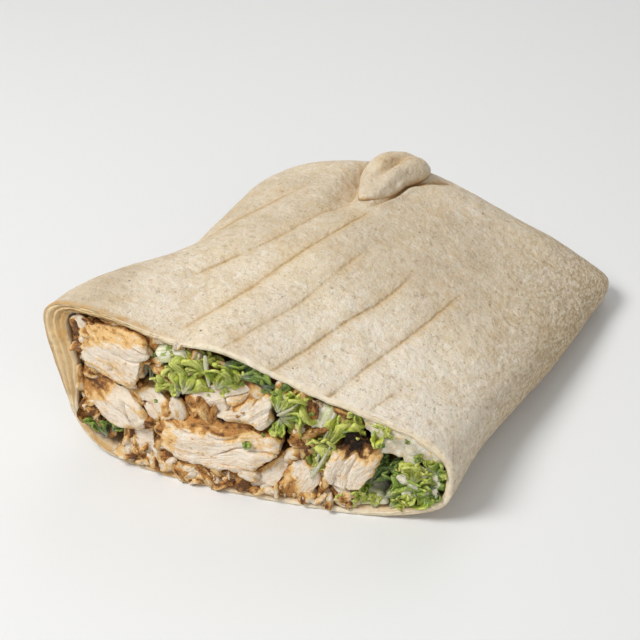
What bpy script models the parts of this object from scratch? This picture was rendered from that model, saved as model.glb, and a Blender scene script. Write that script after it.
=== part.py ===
"""Half of a grilled chicken caesar wrap, cut across the middle and lying on its underside.

The cut face looks along -Y and the folded end lies at +Y.  The flat underside is at Z = 0.  Shapes are
worked out in centimetres in the frame of the cut: X from left to right along the bottom of the cut,
Y into the wrap, Z up.  MIDDLE is the middle of the finished half in that frame, and every mesh is
moved there and scaled to metres as its object is made.
"""
import math

import bmesh
import bpy
from mathutils import Vector, noise

CENTIMETRE = 0.01
MIDDLE = (5.678, 6.541)
GAP = 0.04                       # clearance between pieces that touch
SEED = 3.1                       # how differently neighbouring pieces come out

# ---- tortilla, all in centimetres ----------------------------------------------------------------
# Stations along the half are (share of its length, value): 0 is the cut, 1 the folded end.
LEFT_EDGE = ((0, -1.04), (0.12, -1.05), (0.24, -0.7), (0.34, 0.02), (0.45, 0.5), (0.62, 0.66),
             (0.8, 0.82), (0.92, 1.12), (1, 1.85))
RIGHT_EDGE = ((0, 10.2), (0.2, 10.55), (0.4, 11.2), (0.6, 11.85), (0.8, 12.35), (0.93, 12.7), (1, 12.6))
LEAN = ((0, 1.34), (0.3, 0.7), (0.6, 0.2), (1, 0))
# Stations across the half are (share of its width, value): 0 is the left edge, 1 the right.
CUT_CREST = ((0, 5.1), (0.15, 4.74), (0.33, 4.32), (0.44, 4.34), (0.56, 3.95), (0.68, 3.52),
             (0.8, 3.25), (0.9, 3.05), (1, 2.8))
FOLD_CREST = ((0, 4.1), (0.27, 4.14), (0.42, 4.03), (0.54, 3.7), (0.64, 3.3), (0.76, 2.72),
              (0.86, 2.25), (1, 1.5))
FOLD_REACH = ((0, 11.7), (0.15, 12.85), (0.4, 13.4), (0.7, 12.95), (0.9, 12.75), (1, 12.5))
LEFT_ROUND = ((0, 5.2), (0.3, 3.3), (1, 3.3))     # exponents of the section's rounded ends
RIGHT_ROUND = 3.5
CREST_CHANGE = (-0.1, 0.95)      # shares of the length between which one crest turns into the other
CUT_SLOPE = 0.1                  # the cut leans back by this share of its height
CUT_BOW = 0.2                    # and its two ends lie this much deeper
CUT_SWELL = 0.32                 # while the middle of its lower edge stands out
CLOSE_FROM = 0.82                # share of the length where the folded end starts to round off
CLOSE_ROUND = 2.3
CLOSED = 0.14                    # share of its height that the rounded end keeps, outside and inside
INSIDE_CLOSED = 0.24
FOLD_LINE = 0.36                 # height of the folded end's edge, as a share of the crest
FLAT = 0.07                      # how much of the round underside is pressed flat
WALL = 0.2
ROLL_WALL = 0.5                  # extra wall of the rolled layers at the left end
ROLL_RISE = (0.2, 0.6)           # shares of the height between which the roll gets thick
ROLL_TAPER = 6                   # how soon it thins out to the right
LAYERS = 3
LAYER_GROOVE = 0.09              # depth of the grooves between the rolled layers
END_WALL = 0.955                 # share of the length that the inside reaches
LENGTH = 12.5

PRESS_PITCH = 1.335              # grill lines: spacing, place, lean from +Y, width and depth
PRESS_START = -0.51
PRESS_LEAN = math.radians(20)
PRESS_WIDTH = 0.15
PRESS_DEPTH = 0.07
PRESS_FADE_X = (7.8, 9.6)
PRESS_FADE_Y = (7.0, 10.0)
PUCKER = 0.06                    # height of the soft unevenness of the dough
PUCKER_SIZE = 2.6
RELIEF_EDGE = (0.12, 0.81)       # how far up the rounded sides the relief starts and is full
VALLEY_X = 4.55                  # valley beside the tuck
VALLEY_FROM = (7.4, 10.0)
VALLEY_TO = (10.6, 12.6)
VALLEY_WIDTH = 0.42
VALLEY_DEPTH = 0.32

TUCK_POINT = (5.1, 9.2)          # teardrop lip of the tucked side, on top of the folded end
TUCK_TIP = (6.0, 12.55)
TUCK_HALF_WIDTH = 1.0
TUCK_HEIGHT = (0.28, 0.74)       # how far it stands out, at its point and at its broad end
TUCK_POINTED = 0.45              # share of its width near its point
TUCK_ROUND = 0.6                 # how blunt it is: 1 for an egg, less for a fuller lip
TUCK_ROOT = 0.1                  # and how deep it reaches into the wall

PRESS_LINES = range(0, 6)        # grill lines that the columns of the mesh follow
PRESS_COLUMNS = (-0.2, 0, 0.2, 0.73)
RIGHT_COLUMNS = 7
LEFT_COLUMNS = 5
UNDER_COLUMNS = 24
LENGTH_ROWS = 19
CLOSE_ROWS = 7
RIM_ROWS = 8
INSIDE_DEPTHS = (0, 0.05, 0.11, 0.2, 0.3, 0.4, 0.52, 0.66, 0.8, 0.9, 1)

# ---- filling, in centimetres on the cut: x, z, half length, half height, turn in degrees, how far
# ---- its face stands behind the cut, and its depth
CHICKEN = {
    "chicken_01": (0.90, 3.62, 0.93, 0.98, -24, -0.10, 1.22),
    "chicken_02": (0.66, 1.90, 1.15, 0.64, -28, -0.05, 1.15),
    "chicken_03": (1.92, 2.12, 0.52, 0.42, -37, 0.10, 1.0),
    "chicken_04": (3.42, 2.55, 0.66, 0.46, 12, 0.18, 0.92),
    "chicken_05": (4.02, 1.38, 2.30, 0.72, 9, -0.12, 1.25),
    "chicken_06": (1.50, 0.80, 0.50, 0.46, 0, 0.08, 1.0),
    "chicken_07": (5.24, 0.66, 0.95, 0.40, 48, 0.02, 1.1),
    "chicken_08": (6.16, 0.84, 0.80, 0.54, 66, 0.00, 1.1),
    "chicken_09": (4.18, 3.00, 0.50, 0.42, 20, 0.14, 0.95),
    "chicken_10": (4.90, 2.62, 0.66, 0.48, 50, 0.06, 1.1),
    "chicken_11": (5.62, 3.10, 0.48, 0.34, -10, 0.12, 0.95),
    "chicken_12": (7.55, 1.62, 1.15, 0.80, 68, -0.12, 1.25),
    "chicken_13": (2.75, 0.44, 0.80, 0.28, 4, 0.02, 1.02),
    "chicken_14": (4.15, 0.46, 0.62, 0.26, 8, 0.05, 1.0),
    "chicken_15": (7.02, 0.42, 0.45, 0.32, 20, 0.04, 1.0),
}
ROMAINE = {
    "romaine_01": (1.86, 3.30, 0.85, 0.22, 84, 0.15, 0.92, 1),
    "romaine_02": (2.66, 2.96, 0.80, 0.66, 20, 0.02, 1.1, 3),
    "romaine_03": (3.60, 3.40, 0.72, 0.54, 60, 0.05, 1.1, 2),
    "romaine_04": (4.84, 3.40, 0.60, 0.24, -16, 0.06, 0.95, 2),
    "romaine_05": (5.86, 2.60, 0.80, 0.70, 30, 0.02, 1.05, 2),
    "romaine_06": (6.72, 1.80, 1.20, 0.42, 64, 0.00, 1.08, 3),
    "romaine_07": (8.42, 1.32, 0.70, 0.30, 62, 0.10, 1.0, 2),
    "romaine_08": (9.20, 1.42, 0.52, 0.42, 10, 0.00, 1.0, 2),
    "romaine_09": (8.95, 0.78, 0.75, 0.36, 8, 0.08, 0.98, 3),
    "romaine_10": (0.42, 1.00, 0.50, 0.32, -56, 0.12, 0.9, 2),
}
RIBS = {
    "rib_01": (2.30, 3.66, 0.52, 0.30, 10, 0.06, 1.0),
    "rib_02": (6.62, 2.62, 0.72, 0.30, 66, 0.04, 1.05),
    "rib_03": (7.95, 0.42, 0.70, 0.26, 6, 0.10, 0.98),
}
DRESSING = {"dressing": (8.55, 2.14, 0.72, 0.36, -14, 0.12, 0.95)}
FILLING = {**CHICKEN, **{name: row[:7] for name, row in ROMAINE.items()}, **RIBS, **DRESSING}
FRONT_ZONE = (0, 0.03, 0.06, 0.09, 0.12)
WALL_POINTS = 90
PIECE_ROUND = 2.6                # exponent of a piece's outline
PIECE_SPREAD = 1.22              # how much fuller pieces are than their own outline where there is room
PIECE_RINGS = ((0, 0.66), (0.015, 0.9), (0.1, 1), (0.5, 1), (0.85, 0.96), (1, 0.76))
PIECE_COLUMNS = (14, 26)         # columns of the smallest and of the longest piece
LONGEST = 2.3
CLOSE_BY = 1.12                  # pieces nearer than this, in sizes of the other, are parted
PIECE_CRAG = 0.13                # share by which crags cut into a piece's sides, and their fineness
CRAG_SCALE = 1.6
PIECE_ROUGH = 0.09               # unevenness of a cut face, and its fineness
ROUGH_SCALE = 2.2
PIECE_TILT = 0.35                # the upper half of a cut face leans back
LEAF = 0.07                      # thickness of a leaf
LEAF_STEPS = 4                   # points along each of a leaf's waves
LEAF_FILL = 0.92                 # share of its room that a leaf's waves take
LEAF_SWAY = 0.02                 # unevenness of the waves, and how far they shift with depth
LEAF_SHIFT = 0.3
LEAF_FRILL = 0.08                # frill of a leaf's cut edge
LEAF_POINTS = 48
LEAF_RINGS = 4
CORE_FACE = 2                    # which of INSIDE_DEPTHS the filling behind the pieces starts at
CORE_BUMP = 0.08                 # unevenness of its face, and its fineness
CORE_SCALE = 1.7
CORE_GAP = 0.06
CORE_FACE_RINGS = (0.12, 0.35, 0.6, 0.82, 1)

# ---- colours of the food ------------------------------------------------------------------------
COLOURS = {
    "wheat_tortilla": (0.68, 0.56, 0.40),
    "grilled_chicken": (0.62, 0.42, 0.24),
    "romaine_leaf": (0.25, 0.42, 0.05),
    "romaine_rib": (0.66, 0.72, 0.45),
    "creamy_dressing": (0.80, 0.76, 0.62),
    "packed_filling": (0.30, 0.22, 0.10),
}
ROUGHNESS = 0.55


def lerp(a, b, share):
    """Value part of the way from a to b."""
    return a + (b - a) * share


def smooth(start, end, x):
    """Soft step from 0 at start to 1 at end."""
    s = min(max((x - start) / (end - start), 0.0), 1.0)
    return s * s * (3 - 2 * s)


def curve(stations, x):
    """Value at x of the smooth line through (place, value) stations."""
    last = len(stations) - 1
    x = min(max(x, stations[0][0]), stations[last][0])
    i = next(k for k in range(last) if x <= stations[k + 1][0])
    (x0, y0), (x1, y1) = stations[i], stations[i + 1]

    def slope(k):
        before, after = stations[max(k - 1, 0)], stations[min(k + 1, last)]
        return (after[1] - before[1]) / (after[0] - before[0])

    step = x1 - x0
    s = (x - x0) / step
    rise = (1 - s) ** 2 * s * step * slope(i) - (1 - s) * s * s * step * slope(i + 1)
    return lerp(y0, y1, s * s * (3 - 2 * s)) + rise


def power(value, exponent):
    """Signed power."""
    return math.copysign(abs(value) ** exponent, value)


# ---- tortilla -----------------------------------------------------------------------------------

def closing(v, least=CLOSED):
    """How open the section still is, from 1 along the half to the least at its folded end."""
    s = min(max((v - CLOSE_FROM) / (1 - CLOSE_FROM), 0.0), 1.0)
    return max((1 - s ** CLOSE_ROUND) ** (1 / CLOSE_ROUND), least)


def relief(x, y):
    """Dip of the top: grill lines, the valley beside the tuck, and soft puckers."""
    across = x * math.cos(PRESS_LEAN) - y * math.sin(PRESS_LEAN) - PRESS_START
    off_line = abs((across / PRESS_PITCH + 0.5) % 1 - 0.5) * PRESS_PITCH
    line = math.exp(-(off_line / PRESS_WIDTH) ** 2)
    line *= (1 - smooth(*PRESS_FADE_X, x)) * (1 - smooth(*PRESS_FADE_Y, y)) * smooth(-0.6, -0.2, across)
    valley = math.exp(-((x - VALLEY_X) / VALLEY_WIDTH) ** 2)
    valley *= smooth(*VALLEY_FROM, y) * (1 - smooth(*VALLEY_TO, y))
    pucker = noise.noise(Vector((x, y, SEED)) / PUCKER_SIZE)
    return PRESS_DEPTH * line + VALLEY_DEPTH * valley + PUCKER * pucker


def skin(turn, v, reach=1.0, least=CLOSED, wall=0.0, side=0.0, roll=0.0):
    """Section of the tortilla: turn goes round it from the right edge over the top.

    A wall moves its top and bottom inward, a side wall its two ends, and a roll moves its upper left
    side in further.
    """
    exponent = 2 / (curve(LEFT_ROUND, v) if math.cos(turn) < 0 else RIGHT_ROUND)
    p, q = power(math.cos(turn), exponent), power(math.sin(turn), exponent)
    across, up = (p + 1) / 2, (q + 1) / 2
    along = v * reach
    crest = lerp(curve(CUT_CREST, across), curve(FOLD_CREST, across), smooth(*CREST_CHANGE, along))
    line = FOLD_LINE * crest
    top, bottom = lerp(line, crest, closing(v, least)), line * (1 - closing(v, least))
    z = lerp(bottom + wall, top - wall, up)
    lean = curve(LEAN, along) * (up - 0.5) * (1 - across) ** 2
    rolled = roll * (1 - across) ** ROLL_TAPER * smooth(*ROLL_RISE, up)
    x = lerp(curve(LEFT_EDGE, along) + side, curve(RIGHT_EDGE, along) - side, across) - lean + rolled
    cut = CUT_SLOPE * z + CUT_BOW * p * p - CUT_SWELL * (1 - p * p) * (1 - up)
    y = lerp(cut, curve(FOLD_REACH, across), along)
    return Vector((x, y, z))


def cut_at(x, z):
    """Where the cut lies at a spot of its face."""
    p = min(max(2 * (x - LEFT_EDGE[0][1]) / (RIGHT_EDGE[0][1] - LEFT_EDGE[0][1]) - 1, -1), 1)
    up = min(z / curve(CUT_CREST, (p + 1) / 2), 1)
    return CUT_SLOPE * z + CUT_BOW * p * p - CUT_SWELL * (1 - p * p) * (1 - up)


def settled(spot, turn, v):
    """Spot of the section lowered onto its flat underside, with the relief of its top."""
    spot.z -= FLAT
    if math.sin(turn) > 0:
        spot.z -= relief(spot.x, spot.y) * smooth(*RELIEF_EDGE, math.sin(turn)) * closing(v)
    return spot


def outside(turn, v):
    """Outer face of the tortilla, pressed flat where it lies on its underside."""
    spot = settled(skin(turn, v), turn, v)
    spot.z = max(spot.z, 0.0)
    return spot


def inside(turn, v, clearance=0.0):
    """Inner face of the tortilla, or the face of what fills it with a clearance."""
    open_share = closing(v, INSIDE_CLOSED)
    wall, side = (WALL + clearance) * open_share + clearance, WALL + 2 * clearance
    reach = END_WALL - clearance / LENGTH
    return settled(skin(turn, v, reach, INSIDE_CLOSED, wall, side, ROLL_WALL * open_share), turn, v)


def rim(turn, share):
    """Cut edge of the tortilla, grooved between its layers where it is rolled up."""
    outer, inner = outside(turn, 0), inside(turn, 0)
    spot = outer.lerp(inner, share)
    rolled = min(max((inner - outer).length - WALL, 0) / ROLL_WALL, 1)
    groove = 0.5 + 0.5 * math.cos(2 * math.pi * LAYERS * share)
    ends = 1 - abs(2 * share - 1) ** 6
    spot.y += LAYER_GROOVE * rolled * groove * ends
    return spot


def outline_lengths():
    """Length of the section's outline up to each of many angles."""
    fine = 720
    spots = [skin(2 * math.pi * i / fine, 0.3) for i in range(fine + 1)]
    lengths = [(0.0, 0.0)]
    for i in range(fine):
        reach = lengths[-1][1] + (spots[i + 1] - spots[i]).length
        lengths.append((2 * math.pi * (i + 1) / fine, reach))
    return lengths


def even_turns(count, start=0.0, end=2 * math.pi):
    """Angles at even spacing along the section's outline, from start up to but without end."""
    pairs = [(turn, length) for turn, length in OUTLINE if start <= turn <= end]
    out = []
    for k in range(count):
        goal = lerp(pairs[0][1], pairs[-1][1], k / count)
        i = next(n for n in range(len(pairs) - 1) if pairs[n + 1][1] >= goal)
        (t0, a), (t1, b) = pairs[i], pairs[i + 1]
        out.append(lerp(t0, t1, (goal - a) / (b - a)))
    out[0] = start
    return out


def press_turns(v):
    """Angles over the top, right to left, that follow the grill lines along the half."""
    left, right, lean = curve(LEFT_EDGE, v), curve(RIGHT_EDGE, v), curve(LEAN, v)
    y = lerp(CUT_SLOPE * 4, curve(FOLD_REACH, 0.4), v)
    tracks = [PRESS_START + line * PRESS_PITCH + step for line in PRESS_LINES for step in PRESS_COLUMNS]
    tracks.pop()
    out = []
    for k, track in enumerate(tracks):
        x = track / math.cos(PRESS_LEAN) + y * math.tan(PRESS_LEAN)
        across = (x - left) / (right - left)
        across = (x + lean / 2 * (1 - across) ** 2 - left) / (right - left)
        across = min(max(across, 0.05 + 0.012 * k), 0.93 - 0.012 * (len(tracks) - k))
        p = 2 * across - 1
        out.append(math.acos(power(p, (curve(LEFT_ROUND, v) if p < 0 else RIGHT_ROUND) / 2)))
    return out[::-1]


def turns(v):
    """Angles round the section at one share of the length."""
    top = press_turns(v)
    return (even_turns(RIGHT_COLUMNS, 0.0, top[0]) + top + even_turns(LEFT_COLUMNS, top[-1], math.pi)[1:]
            + even_turns(UNDER_COLUMNS, math.pi))


def loft(rings, turned_from=None):
    """Closed body through rings of equal length, with its first and last ring filled.

    Quads from one column on are split along their other diagonal, so that the two faces of a leaf,
    which run opposite ways, are split alike.
    """
    bm = bmesh.new()
    columns = len(rings[0])
    bmesh.ops.create_grid(bm, x_segments=columns, y_segments=len(rings) - 1, size=0.5)
    edge = math.inf if turned_from is None else turned_from / columns - 0.5
    turned = [face for face in bm.faces if face.calc_center_median().x > edge]
    for vert in bm.verts:
        column = round((vert.co.x + 0.5) * columns) % columns
        vert.co = rings[round((vert.co.y + 0.5) * (len(rings) - 1))][column]
    bmesh.ops.remove_doubles(bm, verts=bm.verts, dist=1e-6)
    bmesh.ops.holes_fill(bm, edges=[e for e in bm.edges if e.is_boundary], sides=0)
    bmesh.ops.triangulate(bm, faces=turned, quad_method="ALTERNATE")
    bmesh.ops.triangulate(bm, faces=bm.faces, quad_method="FIXED")
    bmesh.ops.recalc_face_normals(bm, faces=bm.faces)
    if bm.calc_volume(signed=True) < 0:
        bmesh.ops.reverse_faces(bm, faces=bm.faces)
    return bm


def tortilla_body():
    """Wrapped tortilla: outer face from the folded end to the cut, cut edge, and inner face back."""
    cut = turns(0)
    straight = [CLOSE_FROM * i / LENGTH_ROWS for i in range(LENGTH_ROWS)]
    rounded = [lerp(CLOSE_FROM, 1, math.sin(math.pi / 2 * i / CLOSE_ROWS)) for i in range(CLOSE_ROWS)]
    rings = [[outside(turn, v) for turn in turns(v)] for v in reversed(straight + rounded + [1.0])]
    rings += [[rim(turn, i / RIM_ROWS) for turn in cut] for i in range(1, RIM_ROWS)]
    rings += [[inside(turn, v) for turn in turns(v)] for v in INSIDE_DEPTHS]
    return loft(rings)


def top_at(x, y):
    """Height of the tortilla's top at a spot well inside its sides."""
    v = y / LENGTH
    for _ in range(5):
        across = (x - curve(LEFT_EDGE, v)) / (curve(RIGHT_EDGE, v) - curve(LEFT_EDGE, v))
        v = min(y / curve(FOLD_REACH, across), 1)
    return outside(math.acos(power(2 * across - 1, RIGHT_ROUND / 2)), v).z


def tuck_body():
    """Teardrop lip of the tucked side, lying on the folded end and bent along with it."""
    bm = bmesh.new()
    bmesh.ops.create_uvsphere(bm, u_segments=22, v_segments=12, radius=1)
    point, tip = Vector(TUCK_POINT), Vector(TUCK_TIP)
    along = tip - point
    side = Vector((along.y, -along.x)).normalized()
    for vert in bm.verts:
        share = (vert.co.y + 1) / 2
        wide = TUCK_HALF_WIDTH * lerp(TUCK_POINTED, 1, smooth(0, 0.6, share))
        spot = point + along * share + side * vert.co.x * wide
        rise = lerp(*TUCK_HEIGHT, share) if vert.co.z > 0 else TUCK_ROOT
        vert.co = (*spot, top_at(*spot) + power(vert.co.z, TUCK_ROUND) * rise)
    return bm


# ---- filling ------------------------------------------------------------------------------------

def size_of(row, x, z):
    """How far a spot lies from the middle of a piece, as a share of the piece's own outline."""
    turn = math.radians(row[4])
    dx, dz = x - row[0], z - row[1]
    u = (dx * math.cos(turn) + dz * math.sin(turn)) / row[2]
    w = (dz * math.cos(turn) - dx * math.sin(turn)) / row[3]
    return 1 / PIECE_SPREAD * (abs(u) ** PIECE_ROUND + abs(w) ** PIECE_ROUND) ** (1 / PIECE_ROUND)


def reach_of(row, angle):
    """Distance from the middle of a piece to its own outline in one direction."""
    return 1 / max(size_of(row, row[0] + math.cos(angle), row[1] + math.sin(angle)), 1e-9)


def near(row, other):
    """Whether the outlines of two pieces cross or nearly touch."""
    for k in range(36):
        angle = 2 * math.pi * k / 36
        reach = reach_of(row, angle)
        if size_of(other, row[0] + math.cos(angle) * reach, row[1] + math.sin(angle) * reach) < CLOSE_BY:
            return True
    return False


def parting(row, other):
    """Spot and direction of the straight line that parts a piece from its neighbour."""
    low, high = 0.0, 1.0
    for _ in range(30):
        mid = (low + high) / 2
        x, z = lerp(row[0], other[0], mid), lerp(row[1], other[1], mid)
        if size_of(row, x, z) < size_of(other, x, z):
            low = mid
        else:
            high = mid
    step = 0.001

    def lead(x, z):
        return size_of(row, x, z) - size_of(other, x, z)

    dx = lead(x + step, z) - lead(x - step, z)
    dz = lead(x, z + step) - lead(x, z - step)
    length = math.hypot(dx, dz)
    return x, z, dx / length, dz / length


def wall_outlines():
    """Outlines of the tortilla's inside at a few depths behind the cut."""
    around = even_turns(WALL_POINTS)
    return [[inside(turn, v, GAP) for turn in around] for v in FRONT_ZONE]


def wall_reach(outlines, x, z, angle):
    """Distance from a spot to the nearest of the outlines in one direction."""
    dx, dz = math.cos(angle), math.sin(angle)
    best = math.inf
    for outline in outlines:
        for a, b in zip(outline, outline[1:] + outline[:1]):
            ex, ez = b.x - a.x, b.z - a.z
            cross = dx * ez - dz * ex
            if abs(cross) < 1e-12:
                continue
            far = ((a.x - x) * ez - (a.z - z) * ex) / cross
            share = ((a.x - x) * dz - (a.z - z) * dx) / cross
            if far > 0 and 0 <= share <= 1:
                best = min(best, far)
    return best


def outline_of(name, outlines, count):
    """Outline of a piece on the cut as (angle, reach), held clear of neighbours and tortilla."""
    row = FILLING[name]
    lines = [parting(row, other) for key, other in FILLING.items() if key != name and near(row, other)]
    out = []
    for k in range(count):
        angle = 2 * math.pi * k / count
        dx, dz = math.cos(angle), math.sin(angle)
        reach = min(reach_of(row, angle), wall_reach(outlines, row[0], row[1], angle))
        for x, z, nx, nz in lines:
            towards = dx * nx + dz * nz
            if towards > 1e-6:
                reach = min(reach, ((x - row[0]) * nx + (z - row[1]) * nz - GAP / 2) / towards)
        out.append((angle, reach))
    return out


def lump(name, outlines, count):
    """Lumpy piece: rings of its outline from its cut face back, with crags on its sides."""
    x0, z0, _, _, _, behind, depth = FILLING[name]
    edge = outline_of(name, outlines, count)
    rings = []
    for share, grow in PIECE_RINGS:
        ring = []
        for angle, reach in edge:
            round_it = Vector((math.cos(angle), math.sin(angle), share + x0 * SEED))
            crag = noise.noise(round_it * CRAG_SCALE)
            size = reach * grow * (1 - PIECE_CRAG * (0.5 + 0.5 * crag))
            x, z = x0 + math.cos(angle) * size, z0 + math.sin(angle) * size
            face = 1 - smooth(0, 0.5, share)
            rough = noise.noise(Vector((x, z, x0 * SEED)) * ROUGH_SCALE)
            tilt = max(z - z0, 0) * PIECE_TILT * face
            y = cut_at(x, z) + behind + depth * share + tilt + PIECE_ROUGH * rough * face
            ring.append(Vector((x, y, z)))
        rings.append(ring)
    return loft(rings)


def span(shape, u):
    """Lowest and highest w of a convex outline at one u."""
    hits = []
    for (u0, w0), (u1, w1) in zip(shape, shape[1:] + shape[:1]):
        if min(u0, u1) <= u <= max(u0, u1) and u0 != u1:
            hits.append(lerp(w0, w1, (u - u0) / (u1 - u0)))
    return min(hits), max(hits)


def ruffle(shape, folds, shift):
    """Path of a leaf that runs to and fro across its own room on the cut."""
    left, right = min(u for u, _ in shape) + LEAF, max(u for u, _ in shape) - LEAF
    path = []
    steps = LEAF_STEPS * folds
    for k in range(steps + 1):
        share = k / steps
        u = lerp(left, right, share)
        low, high = span(shape, u)
        room = max((high - low) / 2 - LEAF, 0) * LEAF_FILL
        wave = math.sin(math.pi * (folds * share + shift))
        path.append(((u + LEAF_SWAY * math.sin(9 * share + 5 * shift)), (low + high) / 2 + room * wave))
    return path


def ribbon(path):
    """Outline of a strip of even thickness along a path: one side out, the other side back."""
    sides = [], []
    for k, (u, w) in enumerate(path):
        before, after = path[max(k - 1, 0)], path[min(k + 1, len(path) - 1)]
        du, dw = after[0] - before[0], after[1] - before[1]
        length = math.hypot(du, dw)
        for side, sign in zip(sides, (1, -1)):
            side.append((u - dw / length * sign * LEAF / 2, w + du / length * sign * LEAF / 2))
    return sides[0] + sides[1][::-1]


def leaf(name, outlines):
    """Thin wavy leaf that fills its room on the cut and changes its waves with depth."""
    x0, z0, _, _, turn, behind, depth, folds = ROMAINE[name]
    turn = math.radians(turn)
    flat = [((math.cos(a - turn) * r), (math.sin(a - turn) * r))
            for a, r in outline_of(name, outlines, LEAF_POINTS)]
    rings = []
    for k in range(LEAF_RINGS + 1):
        share = k / LEAF_RINGS
        ring = []
        for u, w in ribbon(ruffle(flat, folds, 0.5 + LEAF_SHIFT * math.sin(SEED * share + x0))):
            x = x0 + u * math.cos(turn) - w * math.sin(turn)
            z = z0 + u * math.sin(turn) + w * math.cos(turn)
            frill = LEAF_FRILL * math.sin(8 * u + 5 * z) * (1 - share)
            ring.append(Vector((x, cut_at(x, z) + behind + depth * share + frill, z)))
        rings.append(ring)
    return loft(rings, len(rings[0]) // 2)


def core_body():
    """Packed filling behind the cut pieces: a bumpy face, then sides up to the tortilla."""
    front = [inside(turn, INSIDE_DEPTHS[CORE_FACE], CORE_GAP) for turn in turns(INSIDE_DEPTHS[CORE_FACE])]
    middle = sum(front, Vector()) / len(front)
    rings = []
    for share in CORE_FACE_RINGS:
        ring = []
        for spot in front:
            at = middle.lerp(spot, share)
            bump = noise.noise(Vector((at.x, at.z, SEED)) * CORE_SCALE) * (1 - share ** 4)
            ring.append(at + Vector((0, CORE_BUMP * bump, 0)))
        rings.append(ring)
    rings += [[inside(turn, v, CORE_GAP) for turn in turns(v)] for v in INSIDE_DEPTHS[CORE_FACE + 1:]]
    return loft(rings)


# ---- objects ------------------------------------------------------------------------------------

def finish(name):
    """Principled material of one kind of food."""
    material = bpy.data.materials.new(name)
    material.use_nodes = True
    shader = material.node_tree.nodes["Principled BSDF"]
    shader.inputs["Base Color"].default_value = (*COLOURS[name], 1)
    shader.inputs["Roughness"].default_value = ROUGHNESS
    return material


def make(name, bm, material):
    """Object with the mesh moved to the half's middle and scaled to metres."""
    bmesh.ops.translate(bm, verts=bm.verts, vec=(-MIDDLE[0], -MIDDLE[1], 0))
    bmesh.ops.scale(bm, verts=bm.verts, vec=(CENTIMETRE,) * 3)
    mesh = bpy.data.meshes.new(name)
    bm.to_mesh(mesh)
    bm.free()
    mesh.materials.append(material)
    thing = bpy.data.objects.new(name, mesh)
    bpy.context.scene.collection.objects.link(thing)
    return thing


def fuse(thing, extra):
    """Join another closed body to an object for good."""
    parts = bpy.data.collections.new("fused")
    bpy.context.scene.collection.children.link(parts)
    bpy.context.scene.collection.objects.unlink(extra)
    parts.objects.link(extra)
    union = thing.modifiers.new("union", "BOOLEAN")
    union.operation = "UNION"
    union.solver = "MANIFOLD"
    union.operand_type = "COLLECTION"
    union.collection = parts
    bpy.context.view_layer.update()
    depsgraph = bpy.context.evaluated_depsgraph_get()
    mesh = bpy.data.meshes.new_from_object(thing.evaluated_get(depsgraph))
    thing.modifiers.clear()
    thing.data = mesh
    bpy.data.objects.remove(extra)
    bpy.data.collections.remove(parts)


OUTLINE = outline_lengths()


def main():
    """Make every piece of the half."""
    for old in list(bpy.data.objects):
        bpy.data.objects.remove(old)
    dough, meat, green, pale, cream, mixed = [finish(name) for name in COLOURS]
    fuse(make("tortilla", tortilla_body(), dough), make("tuck", tuck_body(), dough))
    make("filling_core", core_body(), mixed)
    outlines = wall_outlines()
    for name, row in CHICKEN.items():
        columns = round(lerp(*PIECE_COLUMNS, row[2] / LONGEST))
        make(name, lump(name, outlines, columns), meat)
    for name in ROMAINE:
        make(name, leaf(name, outlines), green)
    for name in RIBS:
        make(name, lump(name, outlines, PIECE_COLUMNS[0]), pale)
    for name in DRESSING:
        make(name, lump(name, outlines, PIECE_COLUMNS[0]), cream)


main()
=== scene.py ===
"""Finished look of half a grilled chicken caesar wrap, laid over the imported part.

Shapes are worked out in centimetres in the frame of the cut: X from left to right along the bottom of
the cut, Y into the wrap, Z up.  place() moves a finished mesh to the part's own frame in metres.
"""
import math
import random
from functools import cached_property, lru_cache
from itertools import accumulate

import bmesh
import bpy
from mathutils import Matrix, Vector
from mathutils.noise import noise


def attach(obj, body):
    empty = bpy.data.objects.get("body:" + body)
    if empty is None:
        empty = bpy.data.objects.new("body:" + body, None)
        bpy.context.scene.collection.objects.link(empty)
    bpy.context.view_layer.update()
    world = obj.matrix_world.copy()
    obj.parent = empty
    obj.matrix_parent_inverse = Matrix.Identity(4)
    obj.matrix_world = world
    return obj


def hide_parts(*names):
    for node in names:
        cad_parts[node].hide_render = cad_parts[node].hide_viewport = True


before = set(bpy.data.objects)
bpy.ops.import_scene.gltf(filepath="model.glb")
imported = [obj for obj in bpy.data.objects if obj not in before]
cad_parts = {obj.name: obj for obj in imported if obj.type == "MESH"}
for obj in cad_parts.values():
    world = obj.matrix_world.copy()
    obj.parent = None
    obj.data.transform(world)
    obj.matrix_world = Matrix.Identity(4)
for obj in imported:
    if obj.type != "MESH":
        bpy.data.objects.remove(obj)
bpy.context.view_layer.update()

bl_info = {
    "name": "Grilled Chicken Wrap",
    "version": (1, 0, 0),
    "blender": (4, 5, 0),
    "location": "3D View > Sidebar > Wrap",
    "description": "Builds half a grilled chicken wrap with its filling, colours and a small stage",
    "category": "Add Mesh",
}

METRES = 0.01
MIDDLE = Vector((5.678, 6.541, 0))

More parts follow.
